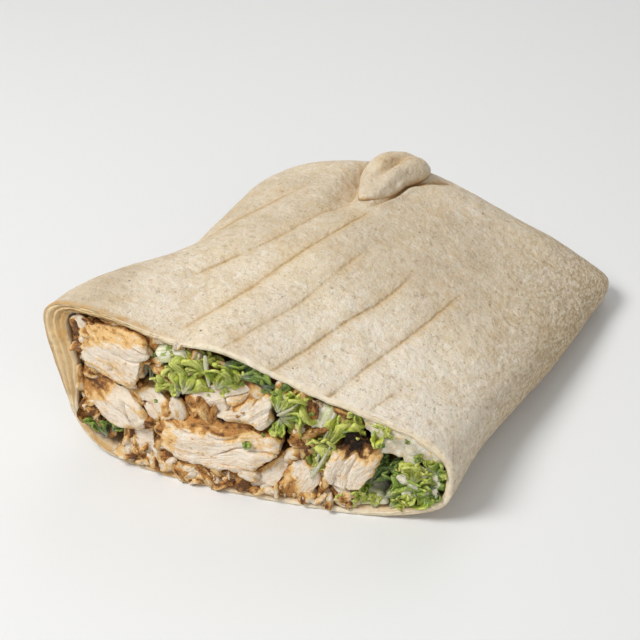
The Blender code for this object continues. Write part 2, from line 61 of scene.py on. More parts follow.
# ---- tortilla: stations are (share of the length or width, centimetres) ----
LEFT_EDGE = ((0, -1.04), (0.12, -1.05), (0.24, -0.7), (0.34, 0.02), (0.45, 0.5), (0.62, 0.66),
             (0.8, 0.82), (0.92, 1.12), (1, 1.85))
RIGHT_EDGE = ((0, 10.2), (0.2, 10.55), (0.4, 11.2), (0.6, 11.85), (0.8, 12.35), (0.93, 12.7), (1, 12.6))
LEAN = ((0, 1.34), (0.3, 0.7), (0.6, 0.2), (1, 0))
CUT_CREST = ((0, 5.1), (0.15, 4.74), (0.33, 4.32), (0.44, 4.34), (0.56, 3.95), (0.68, 3.52),
             (0.8, 3.25), (0.9, 3.05), (1, 2.8))
FOLD_CREST = ((0, 4.1), (0.27, 4.14), (0.42, 4.03), (0.54, 3.7), (0.64, 3.3), (0.76, 2.72),
              (0.86, 2.25), (1, 1.5))
FOLD_REACH = ((0, 11.7), (0.15, 12.85), (0.4, 13.4), (0.7, 12.95), (0.9, 12.75), (1, 12.5))
LEFT_ROUND = ((0, 5.2), (0.3, 3.3), (1, 3.3))
RIGHT_ROUND = 3.5
CREST_CHANGE = (-0.1, 0.95)
CUT_SLOPE = 0.1
CUT_BOW = 0.2
CUT_SWELL = 0.32
CLOSE_FROM = 0.82
CLOSE_ROUND = 2.3
CLOSED = 0.14
INSIDE_CLOSED = 0.24
FOLD_LINE = 0.36
FOLD_LEFT = 1.8
FOLD_WIDE = 10.8
FLAT = 0.07
ROLL_RISE = (0.2, 0.6)
ROLL_TAPER = 6
LAYERS = 3
END_WALL = 0.955
LENGTH = 12.5
PRESS_PITCH = 1.35
PRESS_LEAN = 0.364
RELIEF_EDGE = (0.12, 0.81)
PUCKER_SIZE = 2.6
PUCKER_DEPTH = 0.06
CREASE_DEPTH = 0.11
CREASE_EDGE = 0.05
VALLEY_X = 4.55
VALLEY_FROM = (7.4, 10.0)
VALLEY_TO = (10.6, 12.6)
VALLEY_WIDTH = 0.42
TUCK_POINT = Vector((5.1, 9.2))
TUCK_ALONG = Vector((6.0, 12.55)) - TUCK_POINT
TUCK_HALF_WIDTH = 1.0
TUCK_HEIGHT = (0.28, 0.74)
TUCK_POINTED = 0.45
TUCK_ROUND = 0.6
TUCK_UNDER = 0.12
TUCK_DENT = 0.28
TUCK_GROOVE = 0.07
SEED = 3.1

# Grill lines from left to right: strength, then x at each y.
PRESS_LINES = (
    (0.85, ((6.2, 1.42), (7.0, 1.76), (8.1, 2.4), (9.5, 3.13))),
    (0.95, ((3.5, 1.9), (4.88, 2.68), (6.18, 3.45), (7.83, 4.12), (8.9, 4.62))),
    (1.0, ((1.3, 2.7), (2.89, 3.41), (4.16, 3.79), (5.51, 4.26), (6.55, 4.72), (8.6, 5.55))),
    (0.6, ((0.5, 3.9), (2.36, 4.65), (3.42, 5.04), (5.36, 5.62), (7.1, 6.16))),
    (0.95, ((0.3, 5.2), (1.83, 5.79), (3.49, 6.35), (4.92, 6.97), (6.3, 7.42))),
    (0.85, ((0.1, 6.72), (1.48, 7.15), (3.05, 7.67), (4.91, 8.31), (6.6, 8.84))),
    (0.35, ((0.4, 7.85), (1.01, 8.07), (1.9, 8.42))),
)

TORTILLA_COLUMNS = 400
TORTILLA_ROWS = 150
RIM_ROWS = 12
INSIDE_ROWS = 14
FOLD_ROWS = (0.0, 0.3, 0.55, 0.75, 0.9)
STRAIGHT = 0.9
ROUNDED_ROWS = 16
FOLD_BULGE = 0.06
RIM_GROOVE = 0.11
RIM_ROUND = 0.045

# ---- filling on the cut ----
# A start of char that no place of a piece reaches.
NEVER = 9
# Chicken: x, z, half length, half height, turn and stand-back of each piece, then its look: fibre turn,
# side that is browned (degrees), where browning starts (share of the piece's size towards that side),
# how brown it gets, golden share of the rest, and where char starts.
CHICKEN = {
    "chicken_01": (0.9, 3.62, 0.93, 0.98, -24, -0.1, -24, 98, -0.05, 0.5, 0.55, NEVER),
    "chicken_02": (0.66, 1.9, 1.15, 0.64, -28, -0.05, -38, 125, 0.15, 0.95, 0.5, NEVER),
    "chicken_03": (1.92, 2.12, 0.52, 0.42, -37, 0.1, -37, -20, 0.2, 0.8, 0.45, NEVER),
    "chicken_04": (3.42, 2.55, 0.66, 0.46, 12, 0.18, 12, 230, 0.25, 0.95, 0.45, NEVER),
    "chicken_05": (4.02, 1.38, 2.3, 0.72, 9, -0.12, 8, 94, 0.34, 1.0, 0.5, 0.98),
    "chicken_06": (1.5, 0.8, 0.5, 0.46, 0, 0.08, 0, 180, 0.9, 0.6, 0.35, NEVER),
    "chicken_07": (5.24, 0.66, 0.95, 0.4, 48, 0.02, 48, 140, 0.25, 0.7, 0.85, NEVER),
    "chicken_08": (6.16, 0.84, 0.8, 0.54, 66, 0.0, 66, 200, 0.3, 0.8, 0.6, NEVER),
    "chicken_09": (4.18, 3.0, 0.5, 0.42, 20, 0.14, 20, 90, 0.5, 0.7, 0.6, NEVER),
    "chicken_10": (4.9, 2.62, 0.66, 0.48, 50, 0.06, 50, 120, 0.4, 0.8, 0.7, NEVER),
    "chicken_11": (5.62, 3.1, 0.48, 0.34, -10, 0.12, -10, 90, 0.0, 1.0, 0.8, NEVER),
    "chicken_12": (7.55, 1.62, 1.15, 0.8, 68, -0.12, 68, 86, 0.12, 1.0, 0.45, 0.3),
    "chicken_13": (2.75, 0.44, 0.8, 0.28, 4, 0.02, 4, 90, -0.3, 0.95, 0.8, NEVER),
    "chicken_14": (4.15, 0.46, 0.62, 0.26, 8, 0.05, 8, 60, -0.1, 0.9, 0.6, NEVER),
    "chicken_15": (7.02, 0.42, 0.45, 0.32, 20, 0.04, 20, 90, 0.2, 0.8, 0.6, NEVER),
}
# Leaves: the tone goes from 0, yellow-green, to 1, dark.  Each fan of a leaf is its base on the cut,
# its aim and spread in degrees, its length, how far its base stands back, and its number of waves.
LEAVES = {
    "romaine_01": (0.95, (
        (1.78, 2.75, 82, 18, 1.35, 0.06, 2), (1.9, 2.7, 72, 18, 1.2, 0.16, 2))),
    "romaine_02": (0.12, (
        (2.62, 2.5, 122, 44, 1.0, -0.02, 4), (2.75, 2.6, 60, 44, 1.2, 0.0, 5),
        (2.45, 2.85, 172, 36, 0.55, 0.02, 3), (2.8, 3.05, 84, 40, 0.9, 0.1, 4),
        (2.55, 2.95, 250, 36, 0.5, 0.0, 3))),
    "romaine_03": (0.22, (
        (3.72, 2.95, 76, 38, 0.95, -0.02, 4), (3.88, 3.05, 38, 38, 0.85, 0.04, 4),
        (3.6, 3.15, 108, 26, 0.75, 0.12, 3), (3.85, 3.1, 300, 34, 0.4, 0.02, 3))),
    "romaine_04": (0.92, (
        (4.3, 3.42, 10, 28, 1.0, 0.02, 2), (4.6, 3.52, -8, 26, 0.95, 0.12, 3),
        (3.85, 3.62, 6, 26, 0.9, 0.05, 3), (4.95, 3.32, -22, 26, 0.85, 0.02, 3))),
    "romaine_05": (0.38, (
        (5.42, 2.62, 78, 38, 0.9, -0.02, 4), (5.45, 2.55, 28, 42, 1.2, -0.04, 5),
        (5.5, 2.5, -24, 40, 0.9, 0.0, 4), (5.4, 2.7, 128, 34, 0.6, 0.06, 3),
        (5.7, 2.7, 46, 34, 1.0, 0.18, 3), (5.5, 2.4, 262, 34, 0.55, 0.04, 3))),
    "romaine_06": (0.15, (
        (6.35, 0.75, 62, 20, 1.45, -0.06, 3), (6.75, 1.8, 68, 34, 1.4, -0.02, 5),
        (7.0, 2.3, 38, 36, 1.05, 0.02, 4), (7.75, 2.85, -24, 30, 0.95, -0.02, 3),
        (6.55, 1.3, 84, 26, 1.05, 0.12, 3), (6.45, 1.1, 30, 30, 0.65, -0.02, 3))),
    "romaine_07": (0.9, (
        (8.02, 0.95, 54, 34, 0.9, 0.0, 3), (8.22, 1.2, 92, 30, 0.7, 0.12, 2),
        (8.35, 1.4, 10, 30, 0.7, 0.06, 3))),
    "romaine_08": (0.02, (
        (9.15, 1.1, 84, 46, 0.8, -0.04, 4), (9.3, 1.1, 24, 40, 0.65, 0.02, 4),
        (8.95, 1.2, 134, 30, 0.6, 0.1, 3))),
    "romaine_09": (0.5, (
        (8.45, 0.6, 26, 36, 1.05, -0.02, 5), (9.05, 0.8, 6, 38, 0.85, -0.02, 4),
        (8.1, 0.42, 152, 34, 0.65, 0.02, 4), (8.6, 0.95, -26, 34, 1.0, 0.14, 4),
        (9.45, 0.85, 70, 34, 0.55, 0.06, 3), (9.3, 1.0, 112, 34, 0.75, 0.22, 3))),
    "romaine_10": (0.88, (
        (0.42, 0.62, 120, 32, 0.8, 0.02, 3), (0.55, 0.8, 58, 34, 0.6, 0.08, 3),
        (0.2, 1.1, 96, 30, 0.7, 0.12, 2))),
}
# Ribs and dressing: x, z, half length, half height, turn.
RIBS = {"rib_01": (2.3, 3.66, 0.52, 0.3, 10), "rib_02": (6.62, 2.62, 0.72, 0.3, 66),
        "rib_03": (7.95, 0.42, 0.7, 0.26, 6)}
DRESSING = (8.55, 2.14, 0.72, 0.36, -14)
# Thin pale ribs among the leaves: start and end on the cut, and thickness.
THIN_RIBS = (((3.42, 3.95), (3.56, 3.05), 0.08), ((5.45, 2.6), (6.05, 3.1), 0.045),
             ((6.45, 0.9), (6.95, 2.05), 0.055), ((6.6, 1.4), (6.85, 2.4), 0.04))
# Small scraps of leaf: base, length and aim.
HERBS = ((4.66, 1.52, 0.26, 80), (5.1, 2.05, 0.1, 20), (2.05, 2.35, 0.09, 60), (8.9, 2.5, 0.14, 30),
         (8.3, 2.2, 0.16, 100), (9.2, 1.95, 0.2, 60), (6.35, 2.9, 0.12, 10))
# More leaf ends low on the right, where curled light green loops lie: base, aim, spread, length, tone.
LOOPS = ((7.75, 0.3, 60, 46, 0.5, 0.25), (8.2, 0.24, 100, 50, 0.42, 0.15), (8.6, 0.3, 40, 46, 0.5, 0.2),
         (9.0, 0.42, 80, 40, 0.45, 0.35), (7.45, 0.3, 120, 30, 0.35, 0.5), (9.55, 1.55, 80, 46, 0.55, 0.25),
         (9.62, 1.05, 40, 50, 0.45, 0.6), (9.5, 0.6, 10, 50, 0.45, 0.7), (9.25, 1.75, 110, 40, 0.5, 0.1),
         (9.66, 1.5, 50, 60, 0.45, 0.4), (9.7, 1.25, -20, 50, 0.4, 0.8))
# Heaps of scraps in set hollows: middle on the cut, spread, number, size, and the darkest kind's share.
HEAPS = ((-0.28, 3.35, 0.22, 0.55, 20, 0.16, 0.9), (0.02, 1.35, 0.2, 0.5, 16, 0.16, 0.4),
         (0.0, 2.55, 0.12, 0.4, 10, 0.15, 0.6), (6.78, 1.05, 0.14, 0.4, 9, 0.15, 0.4),
         (6.3, 1.75, 0.22, 0.22, 8, 0.16, 0.3), (0.75, 4.4, 0.9, 0.1, 14, 0.15, 0.4))
# Colours of scraps: how brown, how charred, how golden.
KINDS = ((0.25, 0.0, 0.6), (0.12, 0.0, 0.5), (0.35, 0.0, 0.8), (0.5, 0.0, 0.9), (0.78, 0.1, 0.7),
         (1.05, 0.3, 0.6), (0.42, 0.0, 0.7), (0.62, 0.0, 0.9))
BURNT = (1.05, 0.2, 0.4)
SAUCE_SMEARS = 34
SAUCE_DABS = 10
SAUCE_MESH = 0.03
OUTLINE_STEPS = 48
FAN_ACROSS = 44
FAN_ALONG = 20
HOLLOW_STEP = 0.02
CUT_INNER = 0.02
CUT_MIDDLE = 4.6
WALL_GAP = 0.03
MEAT_LEAN = 0.3
LEAF_GAP = 0.16
SCRAP_SEED = 5
CRUMB_SEED = 11
SAUCE_SEED = 23

# ---- stage: name, place, size and strength of each light ----
LIGHTS = (("key", (-0.5, -0.38, 0.8), 0.45, 8.0), ("fill", (0.75, -0.85, 0.6), 0.9, 2.4),
          ("back", (-0.1, 0.9, 0.7), 0.8, 1.6))
SKY = 0.34
CAMERA_AT = (0.09398, -0.33407, 0.2573)
CAMERA_TO = (-0.0105, 0.0, 0.012)
LIGHTS_TO = (0, 0, 0.02)
LENS = 79
FLOOR_SIZE = 3
SENSOR = 36


def lerp(a, b, share):
    """Value part of the way from a to b."""
    return a + (b - a) * share


def clamp(x, least=0.0, most=1.0):
    """x held between two limits."""
    return min(max(x, least), most)


def smooth(start, end, x):
    """Soft step from 0 at start to 1 at end."""
    s = clamp((x - start) / (end - start))
    return s * s * (3 - 2 * s)


def bell(x, middle, width):
    """Bell of height 1 round its middle."""
    return math.exp(-((x - middle) / width) ** 2)


def rough(x, y, z, shift=Vector()):
    """Noise at a spot."""
    return noise(Vector((x, y, z)) + shift)


def turned(dx, dz, turn):
    """A step on the cut, as seen along and across a turned direction."""
    return dx * math.cos(turn) + dz * math.sin(turn), dz * math.cos(turn) - dx * math.sin(turn)


def curve(stations, x):
    """Value at x of the smooth line through (place, value) stations."""
    last = len(stations) - 1
    x = clamp(x, stations[0][0], stations[last][0])
    i = next(k for k in range(last) if x <= stations[k + 1][0])
    (x0, y0), (x1, y1) = stations[i], stations[i + 1]

    def slope(k):
        before, after = stations[max(k - 1, 0)], stations[min(k + 1, last)]
        return (after[1] - before[1]) / (after[0] - before[0])

    step = x1 - x0
    s = (x - x0) / step
    rise = (1 - s) ** 2 * s * step * slope(i) - (1 - s) * s * s * step * slope(i + 1)
    return lerp(y0, y1, s * s * (3 - 2 * s)) + rise


def power(value, exponent):
    """Signed power."""
    return math.copysign(abs(value) ** exponent, value)


def sizes():
    """Sizes that the sidebar sets."""
    return bpy.context.scene.wrap_sizes


def colours():
    """Colours that the sidebar sets."""
    return bpy.context.scene.wrap_colours


# ---- shape of the tortilla ----

def closing(v, least=CLOSED):
    """How open the section still is, from 1 along the half to the least at its folded end."""
    s = clamp((v - CLOSE_FROM) / (1 - CLOSE_FROM))
    return max((1 - s ** CLOSE_ROUND) ** (1 / CLOSE_ROUND), least)


def line_at(line, y):
    """Place of a grill line at one depth into the half, run on beyond its ends."""
    stations = line[1]
    return curve(stations, y) + PRESS_LEAN * (y - clamp(y, stations[0][0], stations[-1][0]))


def press_at(x, y):
    """Distance to the nearest grill line, sine and cosine of the place between lines, and strength."""
    places = [line_at(line, y) for line in PRESS_LINES]
    places = [places[0] - PRESS_PITCH, *places, places[-1] + PRESS_PITCH]
    k = sum(place < x for place in places[1:-1])
    share = clamp((x - places[k]) / (places[k + 1] - places[k]))
    nearest = k - 1 if share < 0.5 else k
    strength = 0.0
    if 0 <= nearest < len(PRESS_LINES):
        full, stations = PRESS_LINES[nearest]
        start, end = stations[0][0], stations[-1][0]
        strength = full * smooth(start - 0.9, start + 0.5, y) * (1 - smooth(end - 0.9, end + 0.6, y))
    off = min(share, 1 - share) * (places[k + 1] - places[k])
    return off, math.sin(2 * math.pi * share), math.cos(2 * math.pi * share), strength


def beside_tuck(x, y):
    """Place beside the tucked lip: share of its length, and distance across it in half widths."""
    spot = Vector((x, y)) - TUCK_POINT
    share = spot.dot(TUCK_ALONG) / TUCK_ALONG.length_squared
    across = (spot.x * TUCK_ALONG.y - spot.y * TUCK_ALONG.x) / TUCK_ALONG.length
    return share, across / lip_width(share, across)


def lip_width(share, across):
    """Half width of the tucked lip, with its right edge drawn in halfway and out at its tip."""
    wide = TUCK_HALF_WIDTH * lerp(TUCK_POINTED, 1, smooth(0, 0.6, share))
    bow = 0.17 * smooth(0.7, 1.0, share) - 0.37 * bell(share, 0.5, 0.22)
    return wide * (1 + bow * (across > 0))


def crease_at(x, y):
    """How deep the crease along the lip's edge is, and how high the dough's thin free edge beside it."""
    share, across = beside_tuck(x, y)
    length = smooth(-0.08, 0.12, share) * (1 - smooth(0.95, 1.1, share))
    crease = bell(across, 1.07, 0.19) + 0.9 * bell(across, -1.05, 0.2)
    edge = bell(across, 1.42, 0.15) * (1 - smooth(0.45, 0.75, share))
    return crease * length, edge * length


def valley_at(x, y):
    """Depth of the valley beside the tuck."""
    return bell(x, VALLEY_X, VALLEY_WIDTH) * smooth(*VALLEY_FROM, y) * (1 - smooth(*VALLEY_TO, y))


def relief(x, y):
    """Dip of the top: grill lines, the valley and creases beside the tuck, and soft puckers."""
    off, _, _, strength = press_at(x, y)
    line = strength * (0.85 * bell(off, 0, 0.22) + 0.15 * bell(off, 0, 0.08))
    crease, edge = crease_at(x, y)
    pucker = noise(Vector((x, y, SEED)) / PUCKER_SIZE)
    press, hollow = sizes().press_depth / METRES, sizes().valley_depth / METRES
    dip = press * line + hollow * valley_at(x, y) + PUCKER_DEPTH * pucker
    return dip + CREASE_DEPTH * crease - CREASE_EDGE * edge


def across_cut(x):
    """Place along the cut, from -1 at its left end to 1 at its right end."""
    return 2 * (x - LEFT_EDGE[0][1]) / (RIGHT_EDGE[0][1] - LEFT_EDGE[0][1]) - 1


def cut_depth(p, z, up):
    """How far the cut's face stands back at a share of its width and of its height."""
    return CUT_SLOPE * z + CUT_BOW * p * p - CUT_SWELL * (1 - p * p) * (1 - up)


def skin(turn, v, reach=1.0, least=CLOSED, wall=0.0, side=0.0, roll=0.0):
    """Section of the tortilla: turn goes round it from the right edge over the top."""
    exponent = 2 / (curve(LEFT_ROUND, v) if math.cos(turn) < 0 else RIGHT_ROUND)
    p, q = power(math.cos(turn), exponent), power(math.sin(turn), exponent)
    across, up = (p + 1) / 2, (q + 1) / 2
    along = v * reach
    crest = lerp(curve(CUT_CREST, across), curve(FOLD_CREST, across), smooth(*CREST_CHANGE, along))
    line = FOLD_LINE * crest
    top, bottom = lerp(line, crest, closing(v, least)), line * (1 - closing(v, least))
    z = lerp(bottom + wall, top - wall, up)
    lean = curve(LEAN, along) * (up - 0.5) * (1 - across) ** 2
    rolled = roll * (1 - across) ** ROLL_TAPER * smooth(*ROLL_RISE, up)
    x = lerp(curve(LEFT_EDGE, along) + side, curve(RIGHT_EDGE, along) - side, across) - lean + rolled
    return Vector((x, lerp(cut_depth(p, z, up), curve(FOLD_REACH, across), along), z))


def cut_at(x, z):
    """Where the cut lies at a spot of its face."""
    p = clamp(across_cut(x), -1, 1)
    return cut_depth(p, z, min(z / curve(CUT_CREST, (p + 1) / 2), 1))


def settled(spot, turn, v):
    """Spot of the section lowered onto its flat underside, with the relief of its top."""
    spot.z -= FLAT
    if math.sin(turn) > 0:
        spot.z -= relief(spot.x, spot.y) * smooth(*RELIEF_EDGE, math.sin(turn)) * closing(v)
    return spot


def outside(turn, v):
    """Outer face of the tortilla, pressed flat where it lies on its underside."""
    spot = settled(skin(turn, v), turn, v)
    spot.z = max(spot.z, 0.0)
    return spot


def inside(turn, v):
    """Inner face of the tortilla."""
    open_share = closing(v, INSIDE_CLOSED)
    wall, roll = sizes().wall / METRES, sizes().roll_wall / METRES
    spot = skin(turn, v, END_WALL, INSIDE_CLOSED, wall * open_share, wall, roll * open_share)
    return settled(spot, turn, v)


def top_at(x, y):
    """Height of the tortilla's top at a spot well inside its sides."""
    v = y / LENGTH
    for _ in range(5):
        across = (x - curve(LEFT_EDGE, v)) / (curve(RIGHT_EDGE, v) - curve(LEFT_EDGE, v))
        v = min(y / curve(FOLD_REACH, across), 1)
    return outside(math.acos(power(2 * across - 1, RIGHT_ROUND / 2)), v).z


@lru_cache(maxsize=None)
def hollow_near(step):
    """Lowest and highest place of the filling at one of many even steps along the cut."""
    p = clamp(across_cut(step * HOLLOW_STEP), -0.97, 0.97)
    turn = math.acos(power(p, RIGHT_ROUND / 2))
    return inside(-turn, CUT_INNER).z, inside(turn, CUT_INNER).z


def hollow_at(x):
    """Lowest and highest place of the filling at one spot along the cut."""
    return hollow_near(round(x / HOLLOW_STEP))


@lru_cache(maxsize=None)
def walls_near(step):
    """Left and right inner wall of the tortilla at one of many even steps in height."""
    section = [inside(math.radians(k), CUT_INNER) for k in range(0, 360, 2)]
    walls = []
    for end, least, most in ((-1, 0.4, 3.7), (1, 0.4, 2.2)):
        z = clamp(step * HOLLOW_STEP, least, most)
        near = [spot for spot in section if (spot.x - CUT_MIDDLE) * end > 4.2]
        walls.append(min(near, key=lambda spot: abs(spot.z - z)).x)
    return walls


# ---- meshes ----

def mark_layers(bm, second="grain"):
    """Layers for a mesh's marks: its look, and its grain or its place between grill lines."""
    layers = bm.verts.layers
    kind = layers.float_vector if second == "grain" else layers.float_color
    return layers.float_color.new("look"), kind.new(second)


def softened(bm, rounds, factor=0.5):
    """Smooth a mesh's shape."""
    for _ in range(rounds):
        bmesh.ops.smooth_vert(bm, verts=bm.verts, factor=factor,
                              use_axis_x=True, use_axis_y=True, use_axis_z=True)


def shifted(bm, shift, settle):
    """Move all vertices by their shifts, then settle each spot."""
    bm.normal_update()
    moves = [shift(vert) for vert in bm.verts]
    for vert, move in zip(bm.verts, moves):
        vert.co = settle(vert.co + move)
    return bm


def linked(name, data):
    """New object in the scene."""
    thing = bpy.data.objects.new(name, data)
    bpy.context.scene.collection.objects.link(thing)
    return thing


def loft(rings, marks):
    """Closed mesh through rings of equal length, with two sets of marks for each ring and column."""
    bm = bmesh.new()
    columns = len(rings[0])
    bmesh.ops.create_grid(bm, x_segments=columns, y_segments=len(rings) - 1, size=0.5)
    look, press = mark_layers(bm, "press")
    for vert in bm.verts:
        column = round((vert.co.x + 0.5) * columns) % columns
        row = round((vert.co.y + 0.5) * (len(rings) - 1))
        vert.co = rings[row][column]
        vert[look], vert[press] = marks[row][column]
    bmesh.ops.remove_doubles(bm, verts=bm.verts, dist=1e-6)
    bmesh.ops.holes_fill(bm, edges=[e for e in bm.edges if e.is_boundary], sides=0)
    bmesh.ops.recalc_face_normals(bm, faces=bm.faces)
    if bm.calc_volume(signed=True) < 0:
        bmesh.ops.reverse_faces(bm, faces=bm.faces)
    return bm


def outer_marks(spot):
    """Marks of the outer face at one spot: no cut edge, its grill lines, and painted shade for its creases
    and valley.
    """
    _, sine, cosine, strength = press_at(spot.x, spot.y)
    top = smooth(0.8, 2.2, spot.z)
    crease, _ = crease_at(spot.x, spot.y)
    # Painted shade for the creases beside the tuck and, more weakly, for the valley.
    shade = max(crease, 0.5 * valley_at(spot.x, spot.y)) * top
    patchy = 0.95 + 1.2 * rough(spot.x * 2.2, 0, 7)
    soaked = smooth(0.28, 0.02, spot.y - cut_at(spot.x, spot.z)) * smooth(2.9, 1.4, spot.x) * top * patchy
    return (0, 0, 0, clamp(soaked)), (sine, cosine, strength * top, min(shade, 1))


def remeshed(bm, voxel):
    """The mesh as one even closed skin; parts that overlap are joined."""
    mesh = bpy.data.meshes.new("even")
    bm.to_mesh(mesh)
    bm.free()
    thing = linked("even", mesh)
    remesh = thing.modifiers.new("even", "REMESH")
    remesh.mode = "VOXEL"
    remesh.voxel_size = voxel
    bpy.context.view_layer.update()
    even = bpy.data.meshes.new_from_object(thing.evaluated_get(bpy.context.evaluated_depsgraph_get()))
    bpy.data.objects.remove(thing)
    bm = bmesh.new()
    bm.from_mesh(even)
    bpy.data.meshes.remove(even)
    bpy.data.meshes.remove(mesh)
    return bm


def evened(node):
    """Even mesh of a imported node, in centimetres in the frame of the cut."""
    bm = bmesh.new()
    bm.from_mesh(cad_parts[node].data)
    bmesh.ops.remove_doubles(bm, verts=bm.verts, dist=1e-6)
    bm = remeshed(bm, sizes().meat_mesh)
    bmesh.ops.scale(bm, verts=bm.verts, vec=(1 / METRES,) * 3)
    bmesh.ops.translate(bm, verts=bm.verts, vec=MIDDLE)
    return bm


def finished(name, bm, material):
    """New object of one material, made from a mesh."""
    mesh = bpy.data.meshes.new(name)
    bm.to_mesh(mesh)
    bm.free()
    mesh.materials.append(material)
    return linked(name, mesh)


def place(name, bm, material, slot, *nodes):
    """Object with the finished mesh in the part's frame, riding on it and standing for its nodes."""
    bmesh.ops.translate(bm, verts=bm.verts, vec=-MIDDLE)
    bmesh.ops.scale(bm, verts=bm.verts, vec=(METRES,) * 3)
    piece = finished(name, bm, material)
    piece.data.shade_smooth()
    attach(piece, "root")
    if nodes:
        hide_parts(*nodes)
    return piece


def tortilla_mesh():
    """Wrapped tortilla: folded end, outer face, cut edge with its rolled layers, and inner face."""
    turns = even_turns(TORTILLA_COLUMNS)
    rings, marks = [], []

    def add(ring, mark=None):
        rings.append(ring)
        marks.append(mark or [outer_marks(spot) for spot in ring])

    end = [outside(turn, 1.0) for turn in turns]
    for share in FOLD_ROWS:
        ring = []
        for spot in end:
            line = FOLD_LINE * curve(FOLD_CREST, clamp((spot.x - FOLD_LEFT) / FOLD_WIDE)) - FLAT
            ring.append(Vector((spot.x, spot.y + FOLD_BULGE * (1 - share ** 2), lerp(line, spot.z, share))))
        add(ring)
    straight = [STRAIGHT * i / TORTILLA_ROWS for i in range(TORTILLA_ROWS)]
    rounded = [lerp(STRAIGHT, 1, math.sin(math.pi / 2 * i / ROUNDED_ROWS)) for i in range(ROUNDED_ROWS + 1)]
    for v in reversed(straight + rounded):
        add([outside(turn, v) for turn in turns])
    wall = sizes().wall / METRES
    inner = [inside(turn, 0) for turn in turns]
    rim_zero = rings[-1]
    for i in range(1, RIM_ROWS + 1):
        share = i / (RIM_ROWS + 1)
        ring, mark = [], []
        for outer, inside_spot in zip(rim_zero, inner):
            rolled = clamp(((inside_spot - outer).length / wall - 1) * 1.2)
            spot = outer.lerp(inside_spot, share)
            drift = 0.1 * noise(Vector((spot.x, spot.z, 1)) * 1.6)
            groove = 0.5 + 0.5 * math.cos(2 * math.pi * LAYERS * (share + drift))
            ends = 1 - abs(2 * share - 1) ** 4
            ragged = 0.045 * noise(spot * 2.6) + 0.02 * noise(spot * 7)
            bulge = RIM_ROUND * math.sin(math.pi * share)
            spot.y += RIM_GROOVE * rolled * groove * ends - bulge + ragged * ends
            stain = smooth(0.2, 0.8, share) * smooth(2.9, 1.2, spot.x) * smooth(3.0, 3.6, spot.z)
            wet = 0.5 * smooth(0.5, 1, share) * smooth(7.2, 8.6, spot.x)
            under = smooth(6.6, 2.4, spot.x) * smooth(1.3, 0.5, spot.z) * smooth(0.1, 0.5, share)
            ring.append(spot)
            mark.append(((ends ** 0.5, smooth(0.75, 1, share), rolled * groove, max(stain, wet, under)),
                         (0, -1, 0, rolled)))
        add(ring, mark)
    for i in range(INSIDE_ROWS):
        v = (i / (INSIDE_ROWS - 1)) ** 1.6
        add([inside(turn, v) for turn in turns], [((1, 1, 0, 0.6), (0, -1, 0, 0))] * len(turns))

    def shift(vert):
        spot = vert.co
        soft = 0.03 * noise(spot * 0.9) + 0.014 * noise(spot * 2.3)
        fine = 0.006 * noise(spot * 6.5) * smooth(0.02, 0.3, spot.z)
        return vert.normal * (soft + fine) * smooth(0.0, 0.5, spot.z)

    return shifted(loft(rings, marks), shift, lambda spot: Vector((*spot.xy, max(spot.z, 0))))


def even_turns(count):
    """Angles at even spacing along the section's outline."""
    fine = 1440
    spots = [skin(2 * math.pi * i / fine, 0.3) for i in range(fine + 1)]
    lengths = [0.0, *accumulate((b - a).length for a, b in zip(spots, spots[1:]))]
    out, i = [], 0
    for k in range(count):
        goal = lengths[-1] * k / count
        while lengths[i + 1] < goal:
            i += 1
        share = (goal - lengths[i]) / (lengths[i + 1] - lengths[i])
        out.append(2 * math.pi * (i + share) / fine)
    return out


def tuck_mesh():
    """Teardrop lip of the tucked side, creased along its edges and overhanging on the right."""
    bm = bmesh.new()
    bmesh.ops.create_uvsphere(bm, u_segments=128, v_segments=80, radius=1)
    look, press = mark_layers(bm, "press")
    side = Vector((TUCK_ALONG.y, -TUCK_ALONG.x)).normalized()
    for vert in bm.verts:
        share = (vert.co.y + 1) / 2
        across, rise = vert.co.x, power(vert.co.z, TUCK_ROUND)
        wide = lip_width(share, across)
        under = 0.1 * smooth(-0.3, 0.4, rise) * smooth(0, 0.6, across)
        spot = TUCK_POINT + TUCK_ALONG * share + side * (across * wide + under)
        height = lerp(*TUCK_HEIGHT, share) if rise > 0 else TUCK_UNDER
        fold = 0.07 * rough(spot.x * 1.6, spot.y * 0.9, 4)
        bend = 0.02 + 0.3 * (share - 0.55)
        dent = bell(across, bend, 0.2) * bell(share, 0.58, 0.23)
        groove = bell(across - bend, -0.42, 0.12) * bell(share, 0.66, 0.16)
        height *= 1 - 0.3 * max(-across, 0) ** 2
        height -= TUCK_DENT * dent
        vert.co = (*spot, top_at(*spot) + rise * (height - TUCK_GROOVE * groove) + fold * max(rise, 0))
        # Painted shade along the lip's low edge, where it meets the dough, and in the dent of its dimple.
        low = 1 - smooth(0.05, 0.46 + 0.16 * (across > 0), rise)
        patch = math.exp(-((share - 0.58) / 0.3) ** 2 - ((across - bend) / 0.38) ** 2)
        vert[look] = (0, 0, 0, 0)
        vert[press] = (0, -1, 0, max(low, 0.84 * patch * smooth(0.3, 0.8, rise)))
    bmesh.ops.recalc_face_normals(bm, faces=bm.faces)
    return bm


def sector(angle):
    """Which of the outline's directions an angle falls in."""
    return int(angle / (2 * math.pi) * OUTLINE_STEPS) % OUTLINE_STEPS


def outline_of(bm, x0, z0):
    """Distance of a piece's outline from its middle in each direction on the cut."""
    reach = [0.1] * OUTLINE_STEPS
    for vert in bm.verts:
        dx, dz = vert.co.x - x0, vert.co.z - z0
        k = sector(math.atan2(dz, dx))
        reach[k] = max(reach[k], math.hypot(dx, dz))
    for _ in range(3):
        reach = [(reach[k - 1] + reach[k] + reach[(k + 1) % OUTLINE_STEPS]) / 3 for k in range(OUTLINE_STEPS)]
    return reach


